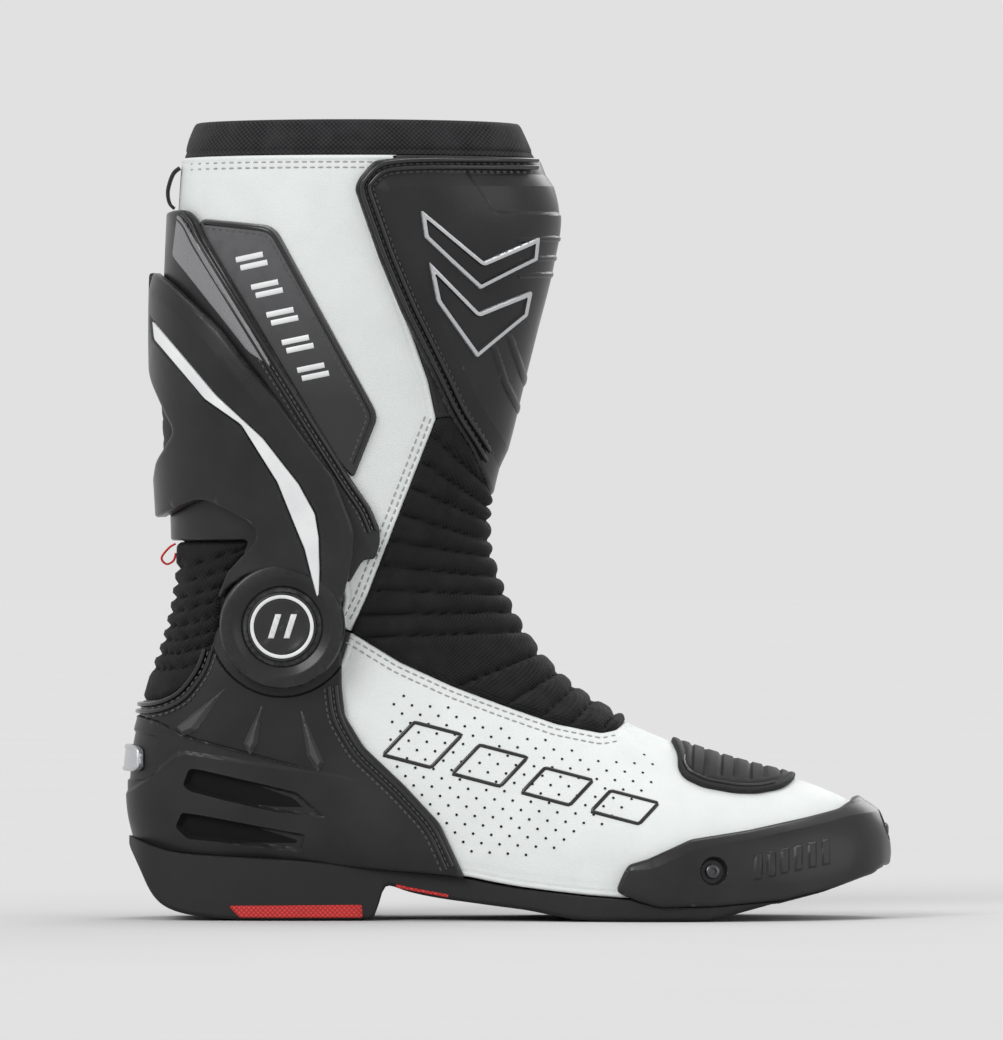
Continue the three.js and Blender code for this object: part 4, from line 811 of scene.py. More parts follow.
SLIDER_FROM, SLIDER_PAST = 130, 2.3


def sole_top(x, y):
    """The sole's upper edge, lowered where the toe slider wraps over it."""
    top = np.interp(x, SOLE_X, SOLE_Z)
    by_slider = np.minimum(top, np.interp(x, *SLIDER_FOOT))
    return np.where((y < SLIDER_PAST) & (x > SLIDER_FROM), by_slider, top)


def tread_grooves(x, y, d):
    """Depth of the sole's cut pattern: slanted bars at the ball, bars at the heel, a rim all round."""
    zigzag = x + 0.35 * np.abs(y)
    bar = np.abs((zigzag / 9.0) % 1 - 0.5) * 9.0
    depth = 1.6 * (1 - step(bar - 1.1, 0.8))
    inside = step(d - 7, 1.0)
    heel_or_ball = ((x > 112) & (x < 222)) | (x < 32)
    return depth * inside * heel_or_ball


PLAN_GAP, THINNEST = 1.5, 0.2


def slab(name, field, top, low, material, levels=(), **place):
    """A solid on the plan of the sole: field(x, y) < 0, between top(x, y, d) and low(x, y, d)."""
    xs, ys = np.arange(-64, 243, PLAN_GAP), np.arange(-56, 54, PLAN_GAP)
    X, Y = np.meshgrid(xs, ys, indexing="ij")
    V, T = np.stack([X, Y, 0 * X], -1).reshape(-1, 3), grid_triangles(len(xs), len(ys))
    V, T = compact(*cut(V, T, field(V[:, 0], V[:, 1]), True))
    for level in levels:
        V, T = cut(V, T, -field(V[:, 0], V[:, 1]) - level)
    x, y = V[:, 0], V[:, 1]
    d = np.maximum(-field(x, y), 0)
    up = np.stack([x, y, top(x, y, d)], 1)
    down = np.stack([x, y, np.minimum(low(x, y, d), up[:, 2] - THINNEST)], 1)
    obj = make_mesh(name, *closed_shell(up, down, T), material)
    obj.modifiers.new("even_shading", "WEIGHTED_NORMAL").keep_sharp = True
    return settle(obj, **place)


def in_plan(x, y):
    return signed(x, y, PLAN)


def sole_low(x, y, d):
    return np.interp(x, TREAD_X, TREAD_Z) + edge_round(d, 2.0) + tread_grooves(x, y, d)


slab("sole", in_plan, lambda x, y, d: sole_top(x, y) - 0.4 * edge_round(d, 1.5), sole_low, RUBBER,
     (0.4, 1.0, 2.0), body="foot", nodes=("outsole",), slot="black_rubber")
GRIP_GAP, GRIP_LIFT, GRIP_DEPTH, GRIP_ROUND = 0.8, 0.5, 0.8, 0.4


def sole_wall(name, outline, side, material, **place):
    """A thin plate on the side wall of the sole, outlined in the side view."""
    shape = poly(outline, 0.8)
    xs, zs = (np.arange(min(p[k] for p in shape) - 1, max(p[k] for p in shape) + 1.5, GRIP_GAP)
              for k in (0, 1))
    edge = np.array([p for p in PLAN if p[1] * side > 0])
    edge = edge[np.argsort(edge[:, 0])]
    X, Z = np.meshgrid(xs, zs, indexing="ij")
    V = np.stack([X, np.interp(X, *edge.T), Z], -1).reshape(-1, 3)
    T = grid_triangles(len(xs), len(zs))
    V, T = compact(*cut(V, T, signed(V[:, 0], V[:, 2], shape), True))
    V, T = cut(V, T, -signed(V[:, 0], V[:, 2], shape) - GRIP_ROUND)
    d = np.maximum(-signed(V[:, 0], V[:, 2], shape), 0)
    out = V.copy()
    out[:, 1] += side * (GRIP_LIFT - edge_round(d, GRIP_ROUND))
    inner = V - [0, side * GRIP_DEPTH, 0]
    if side > 0:
        T = T[:, ::-1]
    return settle(make_mesh(name, *closed_shell(out, inner, T), material), **place)


HEEL_GRIP = [(-21.6, 5.6), (31.6, 6), (32, 0.9), (-17, 0.9)]
ARCH_GRIP = [(45, 12.8), (45, 14.3), (50, 13.1), (66, 10.2), (66, 8.9)]
for side, word in SIDES:
    sole_wall("heel_grip_" + word, HEEL_GRIP, side, RED, body="foot", nodes=("heel_grip_insert",),
              slot="red_rubber")
    sole_wall("arch_grip_" + word, ARCH_GRIP, side, RED, body="foot", nodes=("arch_grip_insert",),
              slot="red_rubber")

# ------------------------------------------------------------------ soft upper of the foot
VAMP = [*back(VAMP_EDGE), *VAMP_REAR[1:], (260, 0), (260, 90)]
vamp_field = both(within(VAMP, 1.0), above_sole)
panel("vamp_leather", vamp_field, leather_height((2.2, 4.6)), -1.8, WHITE, EDGE_LEVELS,
      body="foot", nodes=("vamp",), slot="white_leather")
QUARTER = [*COUNTER_RIM, (0, 119), (27.2, 114.4), *VAMP_REAR[1:], (-80, 12)]
panel("quarter_leather", both(within(QUARTER, 1.0), above_sole), leather_height((2.0,)), -1.8, BLACK,
      EDGE_LEVELS, body="foot", nodes=("quarter",), slot="black_leather")

# perforations of the vamp: a slanted lattice of punched holes with a soft lip
HOLE_ACROSS, HOLE_DOWN = np.array([7.2, -0.44]), np.array([3.28, -3.72])
HOLE_FIELD = [(44, 92), (90, 76), (128, 64), (146, 66), (150, 56), (128, 38), (100, 24), (72, 26),
              (56, 46), (40, 64)]
HOLE_CENTRE, HOLE_MARGIN, HOLE_ABOVE_SOLE, HOLE_SIDES = np.array([60.0, 60.0]), 7, 8, 10
LIP_RINGS = [(0.85, 0.02), (0.7, 0.12), (0.58, 0.06), (0.55, -0.1)]     # radius, height


def has_hole(x, z):
    here = (np.array([x]), np.array([z]))
    if signed(*here, HOLE_FIELD)[0] > 0 or np.abs(signed(*here, poly(VAMP, 1.0)))[0] < HOLE_MARGIN:
        return False
    return z >= np.interp(x, SOLE_X, SOLE_Z) + HOLE_ABOVE_SOLE


def punched_holes(side):
    """Two meshes for one side: the raised lips, and the dark pits inside them."""
    lips, pits = [], []
    turns = [k * math.pi / 5 for k in range(HOLE_SIDES)]
    for a in range(-6, 24):
        for b in range(-12, 22):
            x, z = HOLE_CENTRE + a * HOLE_ACROSS + b * HOLE_DOWN
            if not has_hole(x, z):
                continue
            P, N = on_last(x, z, side)
            t = np.cross(N, [0, 0, 1.0])
            t /= np.linalg.norm(t)
            w = np.cross(N, t)
            spokes = [t * math.cos(angle) + w * math.sin(angle) for angle in turns]
            verts = [P + r * spoke + N * h for r, h in LIP_RINGS for spoke in spokes]
            lips.append((verts, tube_faces(len(LIP_RINGS), HOLE_SIDES)))
            pits.append(([P + 0.6 * spoke + N * 0.05 for spoke in spokes] + [P + N * 0.03],
                         [(k, (k + 1) % HOLE_SIDES, HOLE_SIDES) for k in range(HOLE_SIDES)]))
    return merge(lips), merge(pits)


for side, word in SIDES:
    lips, pits = punched_holes(side)
    settle(make_mesh("vamp_hole_lips_" + word, *lips, WHITE), body="foot", slot="white_leather")
    settle(make_mesh("vamp_hole_pits_" + word, *pits, STRETCH), body="foot", slot="black_leather")

# a generic graphic: a row of slanted outlined bars that shorten towards the toe
BAR_COUNT, BAR_STEP, BAR_WIDTH = 4, 27.5, 19.0


def bar_outline(k):
    x, z = 40 + BAR_STEP * k, 65.5 - 7.4 * k
    high = 13 - 1.6 * k
    lean, drop = 0.95 * high, 0.26 * BAR_WIDTH
    return [(x, z), (x + BAR_WIDTH, z - drop), (x + BAR_WIDTH + lean, z - drop + high), (x + lean, z + high),
            (x, z), (x + 4, z - 1)]


for side, word in SIDES:
    lines = [(rounded(bar_outline(k), 0.8, False), side) for k in range(BAR_COUNT)]
    piping("vamp_graphic_" + word, lines, 0.75, 0.1, GLOSS, 1.2, flat=0.55, body="foot", slot="gloss_black")

vamp_stitch_lines = [offset(VAMP_EDGE[:-2], -by) for by in (2.2, 4.6)]
stitches("vamp_stitches", [(line, side, 0.0) for side in (-1, 1) for line in vamp_stitch_lines],
         WHITE_THREAD, body="foot", slot="white_leather")

# ------------------------------------------------------------------ stretch panels across the ankle
FRONT_GROOVES = [
    [(124, 71), (141, 93)], [(110, 73), (135, 98)], [(99, 76.5), (130, 105)], [(84, 82), (124, 107)],
    [(64, 90.5), (120, 112.5)], [(30, 112), (114, 114.5)], [(29, 121), (110, 122)], [(33, 131), (106, 128)],
    [(36, 141), (103, 134)], [(40, 151), (101, 141)], [(44, 162), (101, 144.5)], [(48, 173), (99, 150.5)],
    [(52, 184), (94, 155.5)], [(56, 195), (79, 174)]]
REAR_GROOVES = [[(-70, z - 2), (-40, z), (-6, z + 10)]
                for z in (139.6, 133.6, 127.6, 122.4, 116.4, 110.8, 105.6, 99.6)]


def ribs(grooves, low, high, half):
    """Padding that swells between the grooves and is tucked in at the outline."""
    def height(x, y, z, d):
        near = np.minimum.reduce([distance(x, z, line) for line in grooves])
        t = np.clip(near / half, 0, 1)
        swell = np.sqrt(np.clip(1 - (1 - t) ** 2, 0, 1))
        tuck = 1 - 0.75 * np.clip(1 - d / 2.2, 0, 1) ** 2
        return (low + (high - low) * swell) * tuck
    return height


FRONT_FLEX = [*back(VAMP_EDGE), *STRIP_FRONT[1:], *SHIN_EDGE[1:], (150, 176)]
front_field = both(within(FRONT_FLEX, 1.0), off_hub(EYE_R))
panel("front_stretch", front_field, ribs(FRONT_GROOVES, -1.0, 2.5, 3.8), -2.2, STRETCH, EDGE_LEVELS, sharp=60,
      blend=BEND, nodes=("front_stretch_panel",), slot="stretch_fabric")
REAR_FLEX = [*COUNTER_RIM, *REAR_FLEX_FRONT[1:], *CALF_FOOT[1:]]
panel("rear_stretch", within(REAR_FLEX, 1.0), ribs(REAR_GROOVES, -1.0, 2.5, 2.7), -2.2, STRETCH, EDGE_LEVELS,
      sharp=60, blend=BEND, nodes=("rear_stretch_panel",), slot="stretch_fabric")
STRIP_FOOT = [(24.6, 128), (22.8, 117), *STRIP_FRONT[:3]]
STRIP = [*SHIN_REAR, (-80, 312), *back(CALF_EDGE), *STRIP_FOOT]
STRIP_INNER = [*SHIN_REAR_INNER, (-80, 312), *back(CALF_EDGE_INNER), *STRIP_FOOT]
strip_region = sides(STRIP, STRIP_INNER, 1.0)
GUSSET = [(27.2, 114.4), (33.2, 127), *HUB_TOP, (-12, 150.5), *back(REAR_FLEX_FRONT), (0, 108)]
GUSSET_GROOVES = [[(-30, z), (40, z + 2)] for z in (122, 128, 134, 140, 146)]


def off_strip(x, y, z):
    return 0.3 - strip_region(x, y, z)


for side, word in ((outer_side, "lateral"), (inner_side, "medial")):
    panel("ankle_gusset_cloth_" + word, both(within(GUSSET, 1.0), side, off_strip),
          ribs(GUSSET_GROOVES, -0.6, 0.3, 2.4), -1.8, STRETCH, EDGE_LEVELS, sharp=60, blend=BEND,
          nodes=("ankle_gusset_" + word,), slot="stretch_fabric")


def clipped(line, field, side):
    """The part of a line that lies inside a field."""
    pts = resample(line, 1.0)
    keep = field(pts[:, 0], np.full(len(pts), float(side)), pts[:, 1]) < -1.0
    return pts[keep]


flex_rows = []
for grooves, field in ((FRONT_GROOVES, front_field), (REAR_GROOVES, within(REAR_FLEX, 1.0))):
    for line in grooves:
        for side in (-1, 1):
            inside = clipped(line, field, side)
            if len(inside) > 4:
                flex_rows.append((inside, side, -0.7))
stitches("flex_stitches", flex_rows, BLACK_THREAD, 3.4, 2.4, 0.32, blend=BEND, slot="stretch_fabric")

# ------------------------------------------------------------------ heel counter and its trims
COUNTER = [*COUNTER_RIM[:-1], (-22.5, 120), (22, 116), *COUNTER_FRONT, (-80, 4)]
SHELF = [(-60, 80.5), (-48.4, 77.7), (-39, 72.8), (-12.4, 65.5), (32, 54)]
SECOND = [(-60, 50), (-52, 55.6), (-42, 65), (-37.5, 66.5), (32, 55.6)]
SLOTS = [[(-38.5, 53.5), (-36, 60.2), (-31.8, 59.8), (5.9, 50.9), (18, 40.5), (-3.5, 43.3), (-22.4, 47.6),
          (-35.6, 51)],
         [(-41.3, 37), (-38.8, 42.9), (-31.8, 41.9), (9.7, 34.4), (8, 27.8), (-23.4, 31.5), (-36.6, 32.5)]]
BADGE_RECESS = [(-80, 55.5), (-54, 55), (-49, 58), (-46.5, 66), (-48.5, 72.5), (-80, 78)]
slot_fields = [within(s, 1.5) for s in SLOTS]
badge_field = within(BADGE_RECESS, 1.5)
SEAT_R = 27.9       # the shallow ring round the ankle, where the brace's eye lies


def counter_height(x, y, z, d):
    h = 3.3 - edge_round(d, 1.4)
    shelf, second = side_of(x, z, back(SHELF)), side_of(x, z, back(SECOND))
    fade = np.clip((30 - x) / 34, 0, 1)
    h = h - 1.5 * step(-shelf - 0.5, 1.0) * np.exp(-np.abs(shelf) / 13) * fade
    h = h - 0.7 * step(-second, 1.4) * step(shelf, 1.0) * fade
    for slot in slot_fields:
        h = h - 2.75 * step(-slot(x, y, z) - 0.5, 1.0) * np.clip((20 - x) / 44, 0, 1) ** 0.7
    h = h - 0.8 * (1 - step(within_hub(SEAT_R)(x, y, z), 0.8)) * (z > 80)
    return h - 0.9 * step(-badge_field(x, y, z), 0.8) * (x < -40)


def slot_shade_zone(x, y, z):
    """Below zero on the part of the slots painted with shade, which narrows to a point as the slots run out.
    """
    return np.min([slot(x, y, z) for slot in slot_fields], axis=0) + np.clip((x + 20) * 0.11, 0, 9)


counter_field = both(within(COUNTER, 2.0), above_sole)
counter_cuts = cuts_at(slot_fields, -1.2, 0.0) + cuts_at([slot_shade_zone], 0.0)
counter_cuts += cuts_at([within_hub(SEAT_R)], -0.45, 0.45) + cuts_at([left_of(SHELF)], 0.0, 1.0)
counter_cuts += cuts_at([left_of(SECOND)], -0.7, 0.7) + cuts_at([badge_field], -0.45, 0.45)
# the slot floors take the near-black second material, painted shade where the slots sink deepest
panel("heel_counter_shell", counter_field, counter_height, 0.3, [PLASTIC, PAINTED_SLOT_SHADE], (0.3, 0.8, 1.4),
      counter_cuts, sharp=17, paint=lambda x, y, z: (slot_shade_zone(x, y, z) < 0).astype(int), fine=1,
      body="foot", nodes=("heel_counter",), slot="black_plastic")

RIM_LINE = [(-53.5, 83.8), (-47, 84.8), (-39, 89), (-31.5, 99.5), (-29.2, 107)]
FRONT_LINE = [(21, 93), (22.5, 80.4), (30.4, 67.2), (46.6, 52.2), (60.4, 37.4), (68, 22)]


def ring_lay(z_of, start, end, lift, count):
    """A line round the back of the boot: it looks at the last from behind."""
    points, normals = [], []
    for y in np.linspace(start, end, count):
        hit, _, face, _ = BVH.ray_cast(Vector((-200, y, z_of(y))), Vector((1, 0, 0)))
        tri = T0[face]
        n = V0[tri, 3:].mean(0)
        n /= np.linalg.norm(n)
        points.append(np.array(hit) + n * lift)
        normals.append(n)
    return np.array(points), np.array(normals)


def wrap_line(line, lift, gap=2.0):
    """A side-view line, laid on both sides and joined round the back; its first point is the rearmost."""
    outer, outer_n = lay(line, -1, lift, gap)
    inner, inner_n = lay(line, 1, lift, gap)
    y0, y1, z = outer[0][1], inner[0][1], outer[0][2]
    count = max(6, int((y1 - y0) / gap))
    mid, mid_n = ring_lay(lambda y: z - 0.6 * (1 - (2 * (y - y0) / (y1 - y0) - 1) ** 2), y0, y1, lift, count)
    P = np.concatenate([outer[::-1], mid[1:-1], inner])
    N = np.concatenate([outer_n[::-1], mid_n[1:-1], inner_n])
    for _ in range(6):
        P[1:-1] = (P[:-2] + 2 * P[1:-1] + P[2:]) / 4
    return P, N


def wrapped_piping(name, lines, radius, material, **place):
    parts = [sweep(*wrap_line(line, lift), circle(radius, 10)) for line, lift in lines]
    return settle(make_mesh(name, *merge(parts), material), **place)


wrapped_piping("counter_rim_cord", [(RIM_LINE, 3.5), (offset(RIM_LINE, -2.6), 3.3)], 0.95, GLOSS,
               body="foot", nodes=("counter_rim_piping",), slot="gloss_black")
for side, word in SIDES:
    lines = [(rounded(line, 6, False), side) for line in (FRONT_LINE, offset(FRONT_LINE, -2.7))]
    piping("counter_front_cord_" + word, lines, 0.95, 3.4, GLOSS,
           body="foot", nodes=("counter_front_piping_" + word,), slot="gloss_black")
counter_rows = ((FRONT_LINE, -1.35), (FRONT_LINE, -4.6), (RIM_LINE, -1.3), (RIM_LINE, -4.4))
stitches("counter_stitches", [(rounded(offset(line, by), 4, False), side, 3.3) for side in (-1, 1)
                              for line, by in counter_rows],
         GREY_THREAD, 2.6, 1.8, body="foot", slot="black_plastic")

SPIKES = [[(-20, 94.2), (-41, 76.4), (-38.5, 72.8), (-33.5, 75)],
          [(-7.1, 88), (-15.2, 70), (-12.5, 65.6), (-9.8, 70)],
          [(6.2, 87.4), (9.8, 65), (14.2, 58.6), (16.6, 62.6)]]
for k, outline in enumerate(SPIKES, 1):
    panel(f"counter_blade_{k}", both(within(outline, 0.3), outer_side),
          lambda x, y, z, d: 2.6 + np.minimum(d * 1.5, 2.3), 1.4, BLADE, (0.5, 1.0, 1.6), sharp=20, fine=2,
          body="foot", nodes=(f"counter_spike_{k}",), slot="gloss_black")

BADGE = [(-80, 59), (-56, 58.4), (-54, 60), (-54, 67), (-56, 68.6), (-80, 69)]


def badge_height(x, y, z, d):
    return 5.0 - edge_round(d, 0.7) - 0.5 * step(d - 1.6, 0.4)


def badge_zone(x, y, z):
    return np.maximum(np.abs(y) - 18, x + 40)


panel("heel_plate", both(within(BADGE, 0.8), badge_zone), badge_height, 2.2, SILVER, (0.3, 0.7, 1.4, 1.8),
      fine=1, body="foot", nodes=("heel_badge",), slot="silver")

# ------------------------------------------------------------------ toe slider and shift pad
SLIDER = [(133.4, 11.4), (132.8, 13), (135, 18.3), (137.3, 22.2), (145, 24.4), (161.6, 31.7), (184, 34.8),
          (205.8, 39), (219.7, 42), (228.8, 46.9), (250, 48), (250, 24), (234.4, 21), (231.8, 18.3),
          (214.5, 12.2), (197, 7.9), (171, 6.2), (149.4, 6.2), (140.8, 8.3)]
SLIDER_CREST = [(139, 20), (147, 20.5), (163, 27.2), (185, 30.4), (207, 34.6), (222, 38), (250, 42)]
SIDE_SCREW, TIP_SCREW_Z, TIP_SCREW_Y = (169.8, 19.3), 34.8, 2.0


def slider_zone(x, y, z):
    beyond_tip = np.maximum(226 - x, y - 22)
    return np.minimum(y - 2, beyond_tip)


def screw_well(x, y, z):
    side = np.where(y < 0, np.hypot(x - SIDE_SCREW[0], z - SIDE_SCREW[1]), 99.0)
    tip = np.where(x > 230, np.hypot(y - TIP_SCREW_Y, z - TIP_SCREW_Z), 99.0)
    return np.minimum(side, tip) - 4.8


def slider_bars(x, y, z):
    """Generic raised bars between the screws, as a signed field."""
    along = (x - 187) / 5.2
    bar = np.abs(along - np.round(along)) * 5.2 - 1.3
    zone = np.maximum(np.abs(x - 200) - 14.5, np.abs(z - (23.2 + 0.2 * (x - 200))) - 4.2)
    return np.maximum(np.maximum(bar, zone), y)


def slider_height(x, y, z, d):
    h = 5.5 - edge_round(d, 1.6)
    crest = side_of(x, z, SLIDER_CREST)
    h = h - 1.5 * np.clip(crest / 4.5, 0, 1)
    h = h - 1.2 * np.clip((146 - x) / 12, 0, 1)
    h = h - 2.6 * step(-screw_well(x, y, z), 1.0)
    return h + 0.55 * step(-slider_bars(x, y, z), 0.7)


slider_cuts = cuts_at([screw_well], -0.55, 0.55) + cuts_at([slider_bars], -0.4, 0.4)
slider_cuts += cuts_at([left_of(SLIDER_CREST), lambda x, y, z: x - 146], 0.0)
panel("toe_slider_shell", both(within(SLIDER, 1.5), slider_zone), slider_height, 0.3, SATIN, (0.4, 1.0, 1.6),
      slider_cuts, sharp=24, fine=1, body="foot", nodes=("toe_slider",), slot="black_plastic")


def screw(name, centre, normal, node):
    """A button-head screw with a six-sided socket."""
    n = np.array(normal, float)
    n /= np.linalg.norm(n)
    t = np.cross(n, [0, 0.3, 1.0])
    t /= np.linalg.norm(t)
    w = np.cross(n, t)
    count = 36
    rings = [(1.9, -1.0, 0), (3.0, 0.0, 0), (3.0, 0.5, 0), (2.75, 1.1, 0), (2.1, 1.5, 0), (1.5, 1.6, 1),
             (1.45, 0.5, 1)]
    verts = []
    for r, h, hexed in rings:
        for k in range(count):
            a = 2 * math.pi * k / count
            flat = max(math.cos((a % (math.pi / 3)) - math.pi / 6), 0.2)
            s = r / flat * math.cos(math.pi / 6) if hexed else r
            verts.append(np.array(centre) + (t * math.cos(a) + w * math.sin(a)) * s + n * h)
    faces = tube_faces(len(rings), count)
    faces.append([(len(rings) - 1) * count + k for k in range(count)])
    faces.append([k for k in range(count)][::-1])
    obj = make_mesh(name, np.array(verts), faces, DARK_STEEL, 30)
    return settle(obj, body="foot", nodes=(node,), slot="steel")


seat, seat_n = on_last(*SIDE_SCREW, -1, 3.2)
screw("slider_screw_side", seat, seat_n, "toe_slider_screw_side")
screw("slider_screw_tip", (237.3 + 3.0, TIP_SCREW_Y, TIP_SCREW_Z), (1, 0, 0), "toe_slider_screw_tip")

PAD = [(153.8, 72), (157.2, 65.1), (156.8, 59.9), (159.4, 55.8), (166.8, 52.3), (179.8, 49.9), (188.4, 49.6),
       (198.9, 51.4), (204.1, 54.9), (206.7, 60), (206.7, 74), (153.8, 84)]
PAD_INNER = [(162, 56.5), (186, 53.6), (200, 56), (203, 90), (158, 90), (160, 60)]
pad_field = both(within(PAD, 2.5), lambda x, y, z: y - 24)
pad_inner = within(PAD_INNER, 2.0)


def pad_groove(x, y, z):
    slanted = (x - 160.5 - (z - 44) / 12) / 6
    return np.where(slanted > 6.6, 9.0, np.abs(slanted - np.round(slanted)) * 6)


def pad_height(x, y, z, d):
    inside = step(-pad_inner(x, y, z), 1.2)
    h = 2.3 - edge_round(d, 0.9) - 0.5 * np.exp(-((d - 2.6) / 0.5) ** 2)
    return h - 0.9 * (1 - step(pad_groove(x, y, z) - 0.75, 0.8)) * inside


panel("shift_pad_shell", pad_field, pad_height, 0.3, RUBBER, (0.4, 0.9, 2.1, 2.6, 3.1),
      [(pad_groove, 0.4), (pad_groove, 1.15)], body="foot", nodes=("shift_pad",), slot="black_rubber")
pad_line = rounded([(158.8, 63.2), (158.6, 60.6), (160.9, 57.3), (167.4, 54.1), (180, 51.8),
                    (188.2, 51.5), (195, 52.5)], 3, False)
piping("shift_pad_cord", [(pad_line, -1)], 0.7, 2.3, GLOSS, 1.6, body="foot", slot="gloss_black")

# ------------------------------------------------------------------ shaft: soft upper
ZIP_FOOT, ZIP_TOP = (18, 158), (36, 266)
ZIP_LINE = [ZIP_FOOT, ZIP_TOP]


def below_collar(x, y, z):
    return z - COLLAR_FOOT


def zip_slot(x, y, z):
    return 3.8 - distance(x, z, ZIP_LINE)


strip_field = both(strip_region, outer_side, below_collar)
panel("strip_leather", strip_field, leather_height((2.2, 4.6)), -1.8, WHITE, EDGE_LEVELS,
      blend=BEND, nodes=("shaft_panel_lateral",), slot="white_leather")
inner_field = both(strip_region, inner_side, below_collar, zip_slot)
panel("inner_leather", inner_field, leather_height((2.2, 4.6)), -1.8, WHITE, EDGE_LEVELS,
      blend=BEND, nodes=("shaft_panel_medial",), slot="white_leather")


def shin_outline(rear):
    return [*rear, (140, 312), (140, 176), *back(SHIN_EDGE)[:-1]]


def calf_outline(edge):
    return [*edge, *back(CALF_FOOT), *back(HUB_TOP)[:-1]]


panel("shin_leather", both(sides(shin_outline(SHIN_REAR), shin_outline(SHIN_REAR_INNER)), below_collar),
      leather_height((2.2,)), -1.8, BLACK, EDGE_LEVELS, body="shaft", nodes=("shin_panel",),
      slot="black_leather")
panel("calf_leather", both(sides(calf_outline(CALF_EDGE), calf_outline(CALF_EDGE_INNER)), below_collar),
      leather_height((2.2,)), -1.8, BLACK, EDGE_LEVELS, body="shaft", nodes=("calf_panel",),
      slot="black_leather")
ROLL_FOOT, ROLL_HEIGHT = 303.8, 14.2


def roll_height(x, y, z, d):
    """A stuffed roll: round over its whole height, with a slight sag between its stitches."""
    t = np.clip((z - ROLL_FOOT) / ROLL_HEIGHT, 0, 1)
    round_top = np.sqrt(np.clip(1 - np.clip((t - 0.82) / 0.18, 0, 1) ** 2, 0, 1))
    return -0.8 - 1.4 * (1 - round_top) - 0.5 * np.exp(-((t - 0.12) / 0.05) ** 2)


def collar_field(x, y, z):
    return np.maximum(ROLL_FOOT - z, z - TOP)


panel("collar_roll", collar_field, roll_height, -4.6, KNIT, (0.4, 1.0, 2.0, 3.5, 5.0), body="shaft",
      nodes=("collar",), slot="stretch_fabric")


def quilted(x, y, z, d):
    """The lining's inner face puffs between slanted quilting lines."""
    a, b = (z + 0.6 * (x + y)) / 16, (z - 0.6 * (x + y)) / 16
    line = np.minimum(np.abs(a - np.round(a)), np.abs(b - np.round(b))) * 16
    return -4.6 + 0.9 * np.exp(-(line / 1.2) ** 2)


SHAFT_LINING = [(-80, COLLAR_FOOT), (140, COLLAR_FOOT), (140, 176), *back(SHIN_EDGE),
                *back(STRIP_FRONT[1:3]), *HUB_TOP, *CALF_FOOT]
panel("shaft_lining_quilt", within(SHAFT_LINING, 1.0), -2.9, quilted, LINING, blend=BEND,
      nodes=("lining_shaft",), slot="lining_fabric")
FOOT_LINING = [*COUNTER_RIM, (0, 119), *VAMP_EDGE, (260, 90), (260, 0), (-80, 0)]
panel("foot_lining_quilt", both(within(FOOT_LINING, 1.0), above_sole), -3.7,
      lambda x, y, z, d: quilted(x, y, z, d) - 1.6, LINING, body="foot", nodes=("lining_foot",),
      slot="lining_fabric")

SEAM_FRONT = [(28.6, 118), *STRIP_FRONT[1:]]
strip_rows = [(offset(SEAM_FRONT, by), side, 0.0) for side in (-1, 1) for by in (2.2, 4.6)]
strip_rows += [([(-38, z), (98, z)], side, 0.0) for side in (-1, 1) for z in (300.6, 298.4)]
inner_rows = [(offset(SHIN_REAR_INNER[:-1], by), 1, 0.0) for by in (2.2, 4.6)]
inner_rows += [(offset(ZIP_LINE, by), 1, 0.0) for by in (-6.2, 6.2)]
stitches("shaft_stitches", strip_rows + inner_rows, WHITE_THREAD, blend=BEND, slot="white_leather")

# ------------------------------------------------------------------ shaft: moulded parts
SHIN_FOOT = [(66.4, 199.6), (74.6, 186.6), (82.6, 167.2), (84, 167.6), (87.7, 172.3), (92, 177), (150, 177)]
SHIN = [(150, 303), (46.8, 302.4), (36.4, 301), (30.6, 294.2), (28.8, 290), (38.7, 261.6), (46.8, 242),
        (60, 214.2), *SHIN_FOOT]
SHIN_INNER = [(150, 303), (62, 302.4), (59.5, 298), (59, 262), (61, 235), (64.4, 208), *SHIN_FOOT]
SHIN_STEP = [(72, 297), (81, 283), (83.5, 281), (112, 280.8), (140, 280.8)]
SHIN_RIDGES = [[(82, 228), (86, 214), (91, 203)], [(88, 232), (93, 216), (98, 204)]]
SHIN_RIBS = [[(92, z), (130, z + 3)] for z in (270.5, 263, 256.5)]
shin_field = sides(SHIN, SHIN_INNER, 2.0)


def shin_height(x, y, z, d):
    h = 3.3 - edge_round(d, 1.5) - 1.5 * np.clip((11.5 - d) / 5, 0, 1)
    h = h - 0.7 * step(side_of(x, z, SHIN_STEP), 1.4) * (x > 70)
    for line in SHIN_RIDGES:
        h = h + bead(distance(x, z, line), 0, 1.3) * 0.5
    for line in SHIN_RIBS:
        h = h + bead(distance(x, z, line), 0, 1.0) * 0.6
    return h


shin_cuts = cuts_at([away_from(line) for line in SHIN_RIDGES + SHIN_RIBS], 0.5, 1.2)
shin_cuts += cuts_at([left_of(SHIN_STEP)], -0.75, 0.75)
panel("shin_shell", shin_field, shin_height, 0.3, SATIN, (0.4, 0.9, 1.5, 6.5, 11.5), shin_cuts, sharp=12,
      fine=1, body="shaft", nodes=("shin_plate",), slot="black_plastic")
SHIN_CORD = [(98.5, 301.2), (58, 301.2), (46, 300.8), (37.8, 299.4), (32.6, 293.4), (31.2, 290),
             (40.8, 262.4), (48.9, 242.8), (62.1, 215.1), (68.3, 201), (75.4, 189.6), (78.6, 183)]
SHIN_CORD_INNER = [(98.5, 301.2), (66, 301.2), (62.6, 298), (61.6, 262), (63.4, 235), (66.8, 208.5),
                   (69, 200.5), (75.8, 189.6), (78.6, 183)]
second_cord = offset(SHIN_CORD[:-1] + [(77.4, 185.6)], 2.8)
cords = [(rounded(SHIN_CORD, 6, False), -1), (rounded(second_cord, 4, False), -1),
         (rounded(SHIN_CORD_INNER, 4, False), 1)]
